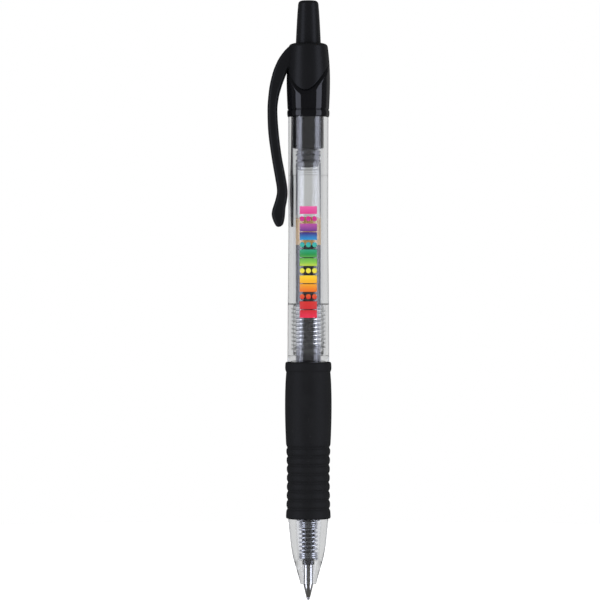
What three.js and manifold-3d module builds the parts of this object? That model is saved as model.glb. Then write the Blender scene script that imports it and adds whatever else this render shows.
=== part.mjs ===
// Retractable gel pen, in millimetres. +Z runs along the pen from the nib to the push button and
// the clip points towards -X. The pen is drawn in its writing position.
import * as THREE from "three";
import { mergeVertices } from "three/addons/utils/BufferGeometryUtils.js";
import Module from "manifold-3d";

const wasm = await Module();
wasm.setup();

// ---- lengths along the pen, from the nib up ----
const tipExposed = 3.77; // nib standing out of the nose
const noseLength = 15.53; // nose cone below the grip
const gripLength = 37.1;
const collarLength = 1.5; // clear collar between the grip and the screw joint
const spigotLength = 12; // threaded spigot inside the rear barrel
const rearLength = 56.5; // screw joint to clip housing
const housingLength = 17.5; // clip housing with its collar
const buttonProud = 10.1; // button standing out of the collar

// ---- nose cone: a straight cone, then a curve up to the grip ----
const noseConeLength = 5.9;
const noseCurveOut = 0.7; // from the cone's upper end to where the curve's tangents meet
const noseCurveRise = 2.66;
const noseEndWall = 0.655;
const noseEndRound = 0.2;

// ---- writing tip ----
const ballRadius = 0.35;
const ballProud = 0.25;
const tipRadius = 1.125; // metal tube behind the cone
const tipConeLength = 3.25;
const tipTubeLength = 5.35;
const shankRadius = 0.9; // in the tip holder
const shankLength = 3.5;
const tipChannelRadius = 0.3;

// ---- refill ----
const refillRadius = 3;
const refillWall = 0.4;
const greaseLength = 6.3;
const airLength = 11.3; // empty tube over the grease

// ---- strokes and fits ----
const stroke = 4.5; // writing position to retracted position
const overTravel = 1.2; // button pressed past the writing position
const fitGap = 0.05; // between pieces that are pressed together
const runGap = 0.12; // between pieces that slide or turn
const flexGap = 0.3; // between the clip's root and the collar

// ---- screw joint ----
const spigotWall = 0.45;
const threadPitch = 1.9;
const threadTurns = 4.5;
const threadHeight = 0.5;
const threadFoot = 1.25; // width of a ridge where it leaves the spigot
const threadCrest = 0.64;
const socketWall = 0.66; // rear barrel around the thread

// ---- rear barrel's bore ----
const airAroundRefill = 0.45;
const fitBoreRunOn = 6.3; // wider bore for the housing's spigot, past the spigot's foot

// ---- outside radii, worked out from the refill through the walls around it ----
const refillBoreRadius = refillRadius + 0.2; // way for the refill through the front barrel
const spigotRadius = refillBoreRadius + spigotWall;
const socketRadius = spigotRadius + threadHeight + runGap;
const barrelRadius = socketRadius + socketWall; // clear barrel at the screw joint
const barrelWaistRadius = barrelRadius - 0.22; // its slimmest place
const barrelTopRadius = barrelRadius - 0.16;
const noseTopRadius = barrelRadius - 0.21;
const seatRadius = noseTopRadius - 0.6; // front barrel inside the grip
const gripHollowRadius = barrelRadius + 0.16; // between the fingers, over the ribs
const gripRadius = barrelRadius + 0.6; // widest part of the grip

// ---- fineness of the round surfaces ----
const roundSteps = 24;
const fullTurn = 2 * Math.PI;

// ---- stations, worked out from the lengths ----
const noseZ = tipExposed;
const gripZ = noseZ + noseLength;
const collarZ = gripZ + gripLength;
const seamZ = collarZ + collarLength;
const spigotTopZ = seamZ + spigotLength;
const housingZ = seamZ + rearLength;
const housingTopZ = housingZ + housingLength;
const buttonTopZ = housingTopZ + buttonProud;
const gripMiddleZ = gripZ + gripLength / 2;

// ---- return spring and its room in the nose ----
const springWire = 0.45;
const springRadius = 2.08; // to the middle of the wire
const springClosedTurns = 3; // at each end
const springOpenTurns = 6;
const springLength = 9.15; // at rest, in the writing position
const springSeatZ = noseZ + 5.88;
const shoulderZ = springSeatZ + springLength; // underside of the tip holder's flange
const chamberRadius = springRadius + springWire / 2 + 0.35;
const noseConeRadius = chamberRadius + 0.845; // at the cone's upper end

// ---- tip holder and tube ----
const tipTubeTopZ = tipConeLength + tipTubeLength;
const holderRadius = springRadius - springWire / 2 - 0.2;
const holderTipRadius = holderRadius - 0.24;
const holderFlangeLength = 1.1;
const holderPlugLength = 4;
const tubeBoreRadius = refillRadius - refillWall;
const tubeBottomZ = shoulderZ + holderFlangeLength + fitGap;
const holderTopZ = tubeBottomZ + holderPlugLength;
const checkBallRadius = 0.75;
const checkRoomRadius = 1;
const checkRoomDepth = 2.2;
const inkChannelRadius = 0.5;
const boreStepZ = shoulderZ - overTravel - 0.15;

// ---- clip housing and its collar ----
const spigotBoreRadius = refillRadius + 0.15;
const housingSpigotRadius = spigotBoreRadius + 0.525;
const housingSpigotLength = 7.5;
const housingSpigotZ = housingZ - housingSpigotLength;
const beadHeight = 0.18; // snap bead on the spigot
const beadDrop = 0.7; // bead's middle below the flange
const beadHalf = 0.35;
const buttonRadius = 2.96; // button where it leaves the collar
const rotorRibRadius = spigotBoreRadius - 0.15;
const rotorRadius = rotorRibRadius - 0.3;
const mechanismRadius = Math.max(rotorRibRadius, buttonRadius);
const upperBoreRadius = mechanismRadius + 0.45;
const upperBoreZ = housingZ + 0.6; // above the spigot
const neckRadius = upperBoreRadius + 0.75; // housing inside the collar
const flangeLength = 1.62; // ring at the housing's foot, up to its groove
const grooveDepth = 0.15;
const housingRadius = Math.max(barrelRadius + 0.22, neckRadius + 0.95); // at its widest
const housingFootRadius = barrelRadius - 0.11;
const housingDrop = 0.65; // narrowing from the widest place to the top
const edgeShare = 0.357; // height of the collar's edge at its lowest, along the housing
const edgeWave = 6; // rise of the edge between its low places
const edgeTurn = 0.16; // how far the low places are turned towards the clip
const edgeBevel = 1.2;
const edgeThickness = 0.45;
const edgeGap = 0.12; // between the housing and the collar's edge
const collarPlate = 1.1; // collar's top wall
const collarOpening = buttonRadius + runGap;

// ---- refill tail, under the cam rotor ----
const tailZ = housingSpigotZ - 0.5;
const tailPlugLength = 4.8;
const tailFlangeLength = 2.9;
const tailGrooveDrops = [2.4, 1];
const tailGrooveHalf = 0.15;
const pinRadius = 1.815; // rotor's pin in the tail
const pinLength = 4.2;
const tailBoreRadius = pinRadius + 0.14;
const greaseTopZ = tailZ - tailPlugLength - airLength;
const inkTopZ = greaseTopZ - greaseLength;

// ---- click mechanism ----
const camTeeth = 6;
const toothHeight = 0.6;
const rotorLength = 6.4; // from the refill's tail to the foot of its teeth
const rotorCoreRadius = rotorRadius - 0.7;
const sleeveRadius = spigotBoreRadius - 0.35; // button inside the housing
const buttonTopRadius = buttonRadius - 0.58;
const buttonWall = 0.7;
const stopFlangeRadius = upperBoreRadius - 0.15;
const stopFlangeLength = 0.8;
const guideRibRadius = mechanismRadius + runGap;
const guideRibLength = 6.5;
const guideRibs = 6;

// ---- clip ----
const clipWidth = 5.4;
const clipThickness = 2.34;
const clipReach = housingRadius + 4.52; // clip's farthest point from the pen's axis
const clipEndDrop = 43.5; // clip's lower end below the collar's top
const clipRound = 0.6;
const clipTouchGap = 0.16; // between the clip's heel and the barrel

function plastic(color, roughness) {
  return new THREE.MeshStandardMaterial({ color, roughness, metalness: 0 });
}

function metal(color, roughness) {
  return new THREE.MeshStandardMaterial({ color, roughness, metalness: 1 });
}

function clear(color, roughness, opacity) {
  const look = { color, roughness, metalness: 0, transparent: true, opacity };
  return new THREE.MeshStandardMaterial(look);
}

// Geometry with only shared positions, as closed solids and booleans need it.
function merged(geometry) {
  geometry.deleteAttribute("normal");
  geometry.deleteAttribute("uv");
  return mergeVertices(geometry, 1e-5);
}

function solidFrom(geometry) {
  const clean = merged(geometry);
  const vertProperties = clean.attributes.position.array;
  const triVerts = new Uint32Array(clean.index.array);
  return new wasm.Manifold(new wasm.Mesh({ numProp: 3, vertProperties, triVerts }));
}

function geometryFrom(solid) {
  const mesh = solid.getMesh();
  const geometry = new THREE.BufferGeometry();
  geometry.setAttribute("position", new THREE.BufferAttribute(mesh.vertProperties, 3));
  geometry.setIndex(new THREE.BufferAttribute(mesh.triVerts, 1));
  return geometry;
}

function joined(first, second) {
  return geometryFrom(solidFrom(first).add(solidFrom(second)));
}

// A solid of revolution about Z. The outline runs counter-clockwise with the radius to the right
// and the height up. It starts and ends on the axis, or else it is closed here.
function turned(outline, curveSteps = 3) {
  if (outline.getPoint(0).x > 0) {
    outline.closePath();
  }
  const lathe = new THREE.LatheGeometry(outline.getPoints(curveSteps), roundSteps);
  return lathe.rotateX(Math.PI / 2);
}

function outlineFrom(points) {
  const outline = new THREE.Path();
  outline.moveTo(...points[0]);
  points.slice(1).forEach((point) => outline.lineTo(...point));
  return outline;
}

// A solid skinned over sections, each the same number of [x, y, z] points in the same order:
// clockwise as seen by someone who walks from the first section to the last. A closed one meets
// itself again and an open one gets end caps.
function skinned(sections, closed) {
  const count = sections[0].length;
  const index = [];
  const spans = closed ? sections.length : sections.length - 1;
  for (let step = 0; step < spans; step += 1) {
    const here = step * count;
    const next = ((step + 1) % sections.length) * count;
    for (let i = 0; i < count; i += 1) {
      const j = (i + 1) % count;
      index.push(here + i, next + i, next + j);
      index.push(here + i, next + j, here + j);
    }
  }
  if (!closed) {
    const last = (sections.length - 1) * count;
    for (let i = 1; i < count - 1; i += 1) {
      index.push(0, i, i + 1);
      index.push(last, last + i + 1, last + i);
    }
  }
  const geometry = new THREE.BufferGeometry();
  const position = sections.flat(2);
  geometry.setAttribute("position", new THREE.Float32BufferAttribute(position, 3));
  geometry.setIndex(index);
  return geometry;
}

// A solid wound about Z. outlineAt(step) gives the section at each step as (radius, height)
// pairs, counter-clockwise.
function wound(outlineAt, steps, stepsPerTurn, closed) {
  const sections = Array.from({ length: steps }, (_, step) => {
    const angle = (step / stepsPerTurn) * fullTurn;
    const place = ([radius, height]) => [
      radius * Math.cos(angle),
      radius * Math.sin(angle),
      height,
    ];
    return outlineAt(step).map(place);
  });
  return skinned(sections, closed);
}

function shapedRing(outlineAt) {
  return wound(outlineAt, roundSteps, roundSteps, true);
}

// ---- front section ----

function threadRidge() {
  const rootRadius = spigotRadius - 0.2;
  const steps = Math.round(threadTurns * roundSteps) + 1;
  const runOut = roundSteps / 4;
  const startZ = spigotTopZ - 0.6 - threadTurns * threadPitch;
  return wound(
    (step) => {
      const rise = Math.min(1, step / runOut, (steps - 1 - step) / runOut);
      const crestRadius = spigotRadius - 0.1 + rise * (threadHeight + 0.1);
      const z = startZ + (step / roundSteps) * threadPitch;
      return [
        [rootRadius, z - threadFoot / 2],
        [crestRadius, z - threadCrest / 2],
        [crestRadius, z + threadCrest / 2],
        [rootRadius, z + threadFoot / 2],
      ];
    },
    steps,
    roundSteps,
    false,
  );
}

// Nose cone, grip seat, collar and threaded spigot in one, with the refill's bore.
function frontBarrel() {
  const bevel = 0.3;
  const noseEndRadius = tipRadius + runGap + noseEndWall;
  const coneTopZ = noseZ + noseConeLength;
  const holderBore = holderTipRadius + runGap;
  const holderBoreZ = tipTubeTopZ - overTravel - 0.1;
  const outline = new THREE.Path();
  outline.moveTo(tipRadius + runGap, noseZ);
  outline.lineTo(noseEndRadius - noseEndRound, noseZ);
  outline.quadraticCurveTo(noseEndRadius, noseZ, noseEndRadius + 0.04, noseZ + noseEndRound);
  outline.lineTo(noseConeRadius, coneTopZ);
  outline.quadraticCurveTo(
    noseConeRadius + noseCurveOut,
    coneTopZ + noseCurveRise,
    noseTopRadius,
    gripZ - fitGap,
  );
  outline.lineTo(seatRadius, gripZ - fitGap);
  outline.lineTo(seatRadius, collarZ + fitGap);
  outline.lineTo(barrelRadius, collarZ + fitGap);
  outline.lineTo(barrelRadius, seamZ);
  outline.lineTo(spigotRadius, seamZ);
  outline.lineTo(spigotRadius, spigotTopZ - bevel);
  outline.lineTo(spigotRadius - bevel / 2, spigotTopZ);
  outline.lineTo(refillBoreRadius, spigotTopZ);
  outline.lineTo(refillBoreRadius, boreStepZ);
  outline.lineTo(chamberRadius, boreStepZ);
  outline.lineTo(chamberRadius, springSeatZ);
  outline.lineTo(holderBore, springSeatZ);
  outline.lineTo(holderBore, holderBoreZ);
  outline.lineTo(tipRadius + runGap, holderBoreZ - bevel);
  return joined(turned(outline), threadRidge());
}

function gripSleeve() {
  const boreRadius = seatRadius + fitGap;
  const grooves = 8;
  const groovePitch = 2.06;
  const firstGroove = 2.4;
  const grooveHalf = 0.42;
  const depth = 0.28;
  const hollowZ = gripZ + 9.2;
  const endRound = 0.6;
  const spread = 0.00266;
  const ribRadius = (z) => gripHollowRadius + spread * (z - hollowZ) ** 2;
  const outline = new THREE.Path();
  outline.moveTo(boreRadius, gripZ);
  outline.lineTo(ribRadius(gripZ) - endRound / 2, gripZ);
  outline.quadraticCurveTo(ribRadius(gripZ), gripZ, ribRadius(gripZ), gripZ + endRound);
  for (let groove = 0; groove < grooves; groove += 1) {
    const z = gripZ + firstGroove + groove * groovePitch;
    outline.lineTo(ribRadius(z), z - grooveHalf);
    outline.lineTo(ribRadius(z) - depth, z);
    outline.lineTo(ribRadius(z), z + grooveHalf);
  }
  const smoothZ = gripZ + firstGroove + (grooves - 0.5) * groovePitch;
  const waistRadius = gripRadius - 0.3;
  const lipRadius = gripRadius - 0.06;
  const along = (share) => smoothZ + share * (collarZ - smoothZ);
  outline.lineTo(ribRadius(smoothZ), smoothZ);
  outline.quadraticCurveTo(gripRadius, along(0.24), gripRadius, along(0.46));
  outline.quadraticCurveTo(gripRadius, along(0.72), waistRadius, collarZ - 2.4);
  outline.quadraticCurveTo(lipRadius + 0.1, collarZ - 1.9, lipRadius, collarZ - 0.8);
  outline.quadraticCurveTo(lipRadius, collarZ, lipRadius - 0.4, collarZ);
  outline.lineTo(boreRadius, collarZ);
  return turned(outline);
}

function returnSpring() {
  const stepsPerTurn = 12;
  const sides = 5;
  const gap = 0.02;
  const wireRadius = springWire / 2;
  const turns = 2 * springClosedTurns + springOpenTurns;
  const closedPitch = springWire + gap;
  const span = springLength - springWire - 2 * fitGap;
  const openPitch = (span - 2 * springClosedTurns * closedPitch) / springOpenTurns;
  const startZ = springSeatZ + fitGap + wireRadius;
  const heightAt = (turn) => {
    const open = THREE.MathUtils.clamp(turn - springClosedTurns, 0, springOpenTurns);
    return startZ + (turn - open) * closedPitch + open * openPitch;
  };
  return wound(
    (step) => {
      const z = heightAt(step / stepsPerTurn);
      return Array.from({ length: sides }, (_, side) => {
        const angle = (side / sides) * fullTurn;
        return [springRadius + wireRadius * Math.cos(angle), z + wireRadius * Math.sin(angle)];
      });
    },
    turns * stepsPerTurn + 1,
    stepsPerTurn,
    false,
  );
}

// ---- rear section ----

function rearBarrel() {
  const socketClearance = 0.4; // over the front barrel's spigot
  const boreTaper = 0.6;
  const fitBoreStep = 0.25;
  const socketTopZ = spigotTopZ + socketClearance;
  const mainBoreRadius = refillRadius + airAroundRefill;
  const fitBoreRadius = housingSpigotRadius + fitGap;
  const fitBoreZ = housingSpigotZ - fitBoreRunOn;
  const topZ = housingZ - fitGap;
  const waistZ = seamZ + rearLength / 2;
  const beadZ = housingZ - beadDrop;
  const beadRoom = fitBoreRadius + beadHeight;
  const outline = new THREE.Path();
  outline.moveTo(socketRadius, seamZ + fitGap);
  outline.lineTo(barrelRadius, seamZ + fitGap);
  outline.lineTo(barrelRadius - 0.02, seamZ + 4);
  outline.quadraticCurveTo(barrelRadius - 0.06, seamZ + 14, barrelWaistRadius, waistZ);
  outline.quadraticCurveTo(barrelWaistRadius - 0.02, waistZ + 12, barrelTopRadius, topZ);
  outline.lineTo(fitBoreRadius, topZ);
  outline.lineTo(fitBoreRadius, beadZ + beadHalf);
  outline.lineTo(beadRoom, beadZ);
  outline.lineTo(fitBoreRadius, beadZ - beadHalf);
  outline.lineTo(fitBoreRadius, fitBoreZ);
  outline.lineTo(mainBoreRadius, fitBoreZ - fitBoreStep);
  outline.lineTo(mainBoreRadius, socketTopZ + boreTaper);
  outline.lineTo(socketRadius, socketTopZ);
  return turned(outline);
}

// Outer radius of the clip housing and its collar at a height.
function skinRadius(z) {
  const share = (z - housingZ) / housingLength;
  if (share < 0.5) {
    return housingFootRadius + (housingRadius - housingFootRadius) * Math.sin(Math.PI * share);
  }
  return housingRadius - housingDrop * (2 * share - 1) ** 2;
}

// Height of the collar's wavy lower edge, low on the pen's flanks and high by the clip.
function collarEdgeZ(step) {
  const fromClip = Math.abs((step / roundSteps) * fullTurn - Math.PI);
  const offFlank = fromClip - (Math.PI / 2 - edgeTurn);
  const wave = (edgeWave / 2) * (1 - Math.cos(2 * offFlank));
  return housingZ + edgeShare * housingLength + wave;
}

function clipHousing() {
  const bevel = 0.2;
  const foot = housingZ + flangeLength;
  const neckTopZ = housingTopZ - collarPlate - fitGap;
  const ribFootZ = upperBoreZ + 0.6;
  const ribTopZ = ribFootZ + guideRibLength;
  const beadZ = housingZ - beadDrop;
  return shapedRing((step) => {
    const edgeZ = collarEdgeZ(step) - edgeGap;
    const skinZ = foot + 0.4;
    const onSkin = (share) => {
      const z = skinZ + share * (edgeZ - skinZ);
      return [skinRadius(z), z];
    };
    const onRib = step % (roundSteps / guideRibs) === 0;
    const ribRadius = onRib ? guideRibRadius : upperBoreRadius;
    return [
      [spigotBoreRadius, housingSpigotZ],
      [housingSpigotRadius - bevel, housingSpigotZ],
      [housingSpigotRadius, housingSpigotZ + bevel],
      [housingSpigotRadius, beadZ - beadHalf],
      [housingSpigotRadius + beadHeight, beadZ],
      [housingSpigotRadius, beadZ + beadHalf],
      [housingSpigotRadius, housingZ],
      [housingFootRadius + 0.05, housingZ],
      [housingFootRadius + 0.18, housingZ + flangeLength / 2],
      [housingFootRadius + 0.1, foot - 0.2],
      [housingFootRadius + 0.1 - grooveDepth, foot],
      [housingFootRadius + 0.1 - grooveDepth, foot + 0.15],
      onSkin(0),
      onSkin(0.33),
      onSkin(0.67),
      onSkin(1),
      [neckRadius, edgeZ],
      [neckRadius, neckTopZ],
      [upperBoreRadius, neckTopZ],
      [upperBoreRadius, ribTopZ],
      [ribRadius, ribTopZ - 0.3],
      [ribRadius, ribFootZ + 0.3],
      [upperBoreRadius, ribFootZ],
      [upperBoreRadius, upperBoreZ + 0.3],
      [spigotBoreRadius, upperBoreZ],
    ];
  });
}

function clipCollar() {
  const boreRadius = neckRadius + fitGap;
  const plateZ = housingTopZ - collarPlate;
  const shoulderZ = housingTopZ - 1;
  return shapedRing((step) => {
    const edgeZ = collarEdgeZ(step);
    const skinZ = edgeZ + edgeBevel;
    const onSkin = (share) => {
      const z = skinZ + share * (shoulderZ - skinZ);
      return [skinRadius(z), z];
    };
    const shoulderRadius = skinRadius(shoulderZ);
    return [
      [boreRadius, edgeZ],
      [skinRadius(edgeZ) - edgeThickness, edgeZ],
      onSkin(0),
      onSkin(0.33),
      onSkin(0.67),
      onSkin(1),
      [shoulderRadius - 0.25, shoulderZ + 0.62],
      [shoulderRadius - 1, housingTopZ - 0.08],
      [collarOpening, housingTopZ],
      [collarOpening, plateZ],
      [boreRadius, plateZ],
    ];
  });
}

// The clip runs from its root on the collar to its upturned end. Each station pairs a point of
// the outer side with one of the inner side as (distance from the axis, drop below the collar's
// top), and the sections between them are bars with rounded edges.
function clip() {
  const rootRadius = (drop) => skinRadius(housingTopZ - drop) + flexGap;
  const rootTopDrop = 1.75;
  const rootFootDrop = 5;
  const heelRadius = barrelWaistRadius + clipTouchGap;
  const out = (distance) => barrelRadius + distance;
  const stations = [
    [
      [rootRadius(rootTopDrop), rootTopDrop],
      [rootRadius(rootFootDrop), rootFootDrop],
    ],
    [[out(1.67), 3.6], [out(0.82), 6.8]],
    [[out(3.17), 6.4], [out(1.47), 8.4]],
    [[out(4.17), 9.6], [out(2.07), 10.4]],
    [[clipReach, 15.3], [clipReach - clipThickness, 15.5]],
    [[clipReach - 0.2, 21.4], [out(2.07), 20.6]],
    [[out(3.72), 27.4], [out(1.37), 26.6]],
    [[out(2.92), 32], [out(0.47), 31.3]],
    [[out(2.5), 34.9], [heelRadius, 34.9]],
    [[out(2.82), 37], [out(0.12), 37.2]],
    [[out(3.67), 39.8], [out(0.47), 39]],
    [[out(3.62), 41.4], [out(0.62), 41]],
    [[out(2.87), clipEndDrop - 0.4], [out(1.02), 42.8]],
    [[out(2.27), clipEndDrop], [out(1.67), clipEndDrop - 0.1]],
  ];
  const curveOf = (side) => {
    const points = stations.map((pair) => new THREE.Vector2(...pair[side]));
    return new THREE.SplineCurve(points).getPoints(2 * (stations.length - 1));
  };
  const outer = curveOf(0);
  const inner = curveOf(1);
  const half = clipWidth / 2;
  const sections = outer.map((outerPoint, i) => {
    const innerPoint = inner[i];
    const round = Math.min(clipRound, 0.3 * outerPoint.distanceTo(innerPoint));
    const share = round / outerPoint.distanceTo(innerPoint);
    const place = ([across, depth]) => {
      const point = innerPoint.clone().lerp(outerPoint, depth);
      return [-point.x, across, housingTopZ - point.y];
    };
    return [
      [-half + round, 0],
      [half - round, 0],
      [half, share],
      [half, 1 - share],
      [half - round, 1],
      [-half + round, 1],
      [-half, 1 - share],
      [-half, share],
    ].map(place);
  });
  return skinned(sections, false);
}

// ---- click mechanism ----

// Crown of saw teeth between two radii, which hang from rootZ with their plain side at topZ.
function toothCrown(innerRadius, outerRadius, rootZ, topZ) {
  const stepsPerTooth = roundSteps / camTeeth;
  return shapedRing((step) => {
    const drop = (toothHeight * (step % stepsPerTooth)) / (stepsPerTooth - 1);
    return [
      [innerRadius, rootZ - drop],
      [outerRadius, rootZ - drop],
      [outerRadius, topZ],
      [innerRadius, topZ],
    ];
  });
}

const rotorFootZ = tailZ + fitGap;
const rotorTopZ = rotorFootZ + rotorLength;
const buttonFootZ = rotorTopZ + 2 * toothHeight + runGap;

function camRotor() {
  const core = outlineFrom([
    [0, tailZ - pinLength],
    [pinRadius - 0.5, tailZ - pinLength],
    [pinRadius, tailZ - pinLength + 1],
    [pinRadius, rotorFootZ],
    [rotorRadius - 0.2, rotorFootZ],
    [rotorRadius - 0.1, rotorFootZ + 0.4],
    [rotorCoreRadius, rotorFootZ + 1.2],
    [rotorCoreRadius, rotorTopZ],
    [0, rotorTopZ],
  ]);
  const ribbed = shapedRing((step) => {
    const onRib = step % (roundSteps / (camTeeth / 2)) < 2;
    const radius = onRib ? rotorRibRadius : rotorRadius;
    const stepsPerTooth = roundSteps / camTeeth;
    const rise = (toothHeight * (step % stepsPerTooth)) / (stepsPerTooth - 1);
    return [
      [rotorCoreRadius - 0.3, rotorFootZ + 1.6],
      [radius - 0.2, rotorFootZ + 1.6],
      [radius, rotorFootZ + 2],
      [radius, rotorTopZ + rise],
      [rotorCoreRadius - 0.3, rotorTopZ + rise],
    ];
  });
  return joined(turned(core), ribbed);
}

function pushButton() {
  const boreRadius = sleeveRadius - buttonWall;
  const flangeTopZ = housingTopZ - collarPlate - runGap - stroke;
  const flangeZ = flangeTopZ - stopFlangeLength;
  const shoulderZ = housingTopZ + 7.5;
  const shoulderRadius = buttonRadius - 0.4;
  const edgeRound = 0.9;
  const outline = new THREE.Path();
  outline.moveTo(0, shoulderZ);
  outline.lineTo(boreRadius - 0.6, shoulderZ);
  outline.lineTo(boreRadius, housingTopZ);
  outline.lineTo(boreRadius, buttonFootZ);
  outline.lineTo(sleeveRadius, buttonFootZ);
  outline.lineTo(sleeveRadius, flangeZ);
  outline.lineTo(stopFlangeRadius, flangeZ);
  outline.lineTo(stopFlangeRadius, flangeTopZ);
  outline.lineTo(buttonRadius, flangeTopZ);
  outline.lineTo(buttonRadius, housingTopZ);
  outline.lineTo(shoulderRadius, shoulderZ);
  outline.lineTo(buttonTopRadius, buttonTopZ - edgeRound);
  outline.quadraticCurveTo(
    buttonTopRadius - 0.08,
    buttonTopZ,
    buttonTopRadius - edgeRound,
    buttonTopZ,
  );
  outline.lineTo(0, buttonTopZ);
  const inset = 0.03;
  const crown = toothCrown(
    boreRadius + inset,
    sleeveRadius - inset,
    buttonFootZ,
    buttonFootZ + 0.4,
  );
  return joined(turned(outline), crown);
}

// ---- refill ----

function refillTube() {
  return turned(
    outlineFrom([
      [tubeBoreRadius, tubeBottomZ],
      [refillRadius, tubeBottomZ],
      [refillRadius, tailZ - tailFlangeLength - fitGap],
      [tubeBoreRadius, tailZ - tailFlangeLength - fitGap],
    ]),
  );
}

function refillTailPlug() {
  const outline = new THREE.Path();
  const flangeZ = tailZ - tailFlangeLength;
  outline.moveTo(tailBoreRadius, tailZ - tailPlugLength);
  outline.lineTo(tubeBoreRadius - fitGap, tailZ - tailPlugLength);
  outline.lineTo(tubeBoreRadius - fitGap, flangeZ);
  outline.lineTo(refillRadius, flangeZ);
  tailGrooveDrops.forEach((drop) => {
    outline.lineTo(refillRadius, tailZ - drop - tailGrooveHalf);
    outline.lineTo(refillRadius - tailGrooveHalf, tailZ - drop);
    outline.lineTo(refillRadius, tailZ - drop + tailGrooveHalf);
  });
  outline.lineTo(refillRadius, tailZ - 0.15);
  outline.lineTo(refillRadius - 0.15, tailZ);
  outline.lineTo(tailBoreRadius, tailZ);
  return turned(outline);
}

function column(lowZ, highZ) {
  const radius = tubeBoreRadius - fitGap;
  return turned(
    outlineFrom([
      [0, lowZ],
      [radius, lowZ],
      [radius, highZ],
      [0, highZ],
    ]),
  );
}

function tipHolder() {
  const shankBore = shankRadius + fitGap;
  const shankTopZ = tipTubeTopZ + shankLength + 0.2;
  const plugRadius = tubeBoreRadius - fitGap;
  const roomZ = holderTopZ - checkRoomDepth;
  const tubeFaceZ = tubeBottomZ - fitGap;
  return turned(
    outlineFrom([
      [shankBore, tipTubeTopZ],
      [holderTipRadius - 0.12, tipTubeTopZ],
      [holderTipRadius, tipTubeTopZ + 0.15],
      [holderRadius, shoulderZ],
      [refillRadius - 0.1, shoulderZ],
      [refillRadius - 0.1, tubeFaceZ],
      [plugRadius, tubeFaceZ],
      [plugRadius, holderTopZ],
      [checkRoomRadius, holderTopZ],
      [checkRoomRadius, roomZ],
      [inkChannelRadius, roomZ - 0.5],
      [inkChannelRadius, shankTopZ],
      [shankBore, shankTopZ],
    ]),
  );
}

function checkBall() {
  const ball = new THREE.SphereGeometry(checkBallRadius, 12, 8);
  const middleZ = holderTopZ - checkRoomDepth + 0.55;
  return ball.rotateX(Math.PI / 2).translate(0, 0, middleZ);
}

function tipBody() {
  const socketRadius = ballRadius + 0.02;
  const shankZ = tipTubeTopZ - fitGap;
  return turned(
    outlineFrom([
      [socketRadius, ballProud],
      [socketRadius + 0.05, ballProud],
      [tipRadius, tipConeLength],
      [tipRadius, shankZ],
      [shankRadius, shankZ],
      [shankRadius, tipTubeTopZ + shankLength],
      [tipChannelRadius, tipTubeTopZ + shankLength],
      [tipChannelRadius, 2 * ballRadius + 0.3],
      [socketRadius, 2 * ballRadius + 0.05],
    ]),
  );
}

function tipBall() {
  const ball = new THREE.SphereGeometry(ballRadius, 12, 8);
  return ball.rotateX(Math.PI / 2).translate(0, 0, ballRadius);
}

// ---- the pen ----

function piece(name, geometry, material) {
  const mesh = new THREE.Mesh(geometry, material);
  mesh.name = name;
  return mesh;
}

function section(...meshes) {
  const group = new THREE.Group();
  meshes.forEach((mesh) => group.add(mesh));
  return group;
}

const matteBlack = plastic(0x1c1d1f, 0.6);
const glossBlack = plastic(0x0c0c0e, 0.12);
const clearShell = clear(0xe6eaed, 0.08, 0.3);
const clearTube = clear(0xe9ebea, 0.12, 0.35);
const smoke = clear(0x3a3d42, 0.2, 0.85);

const frontSection = section(
  piece("front_barrel", frontBarrel(), clearShell),
  piece("grip_sleeve", gripSleeve(), plastic(0x17181a, 0.8)),
  piece("return_spring", returnSpring(), metal(0xb9bcc0, 0.25)),
);

const rearSection = section(
  piece("rear_barrel", rearBarrel(), clearShell),
  piece("clip_housing", clipHousing(), glossBlack),
  piece("clip_collar", clipCollar(), matteBlack),
  piece("clip", clip(), matteBlack),
);

const clickMechanism = section(
  piece("push_button", pushButton(), matteBlack),
  piece("cam_rotor", camRotor(), plastic(0x151618, 0.35)),
);

const refill = section(
  piece("refill_tube", refillTube(), clearTube),
  piece("refill_tail_plug", refillTailPlug(), clearTube),
  piece("grease_follower", column(inkTopZ + fitGap, greaseTopZ), clear(0xc49a4e, 0.25, 0.8)),
  piece("ink_column", column(holderTopZ + fitGap, inkTopZ), plastic(0x0a0a10, 0.2)),
  piece("tip_holder", tipHolder(), smoke),
  piece("backflow_ball", checkBall(), metal(0xa9acb0, 0.2)),
  piece("tip_body", tipBody(), metal(0xc6c4bf, 0.22)),
  piece("tip_ball", tipBall(), metal(0x8d9096, 0.15)),
);

// The pen's own frame has its origin on the axis at the middle of the grip.
const pen = section(frontSection, rearSection, clickMechanism, refill);
pen.position.z = -gripMiddleZ;

const frame = new THREE.Group();
frame.add(pen);

export default frame;
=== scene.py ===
import math

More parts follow.
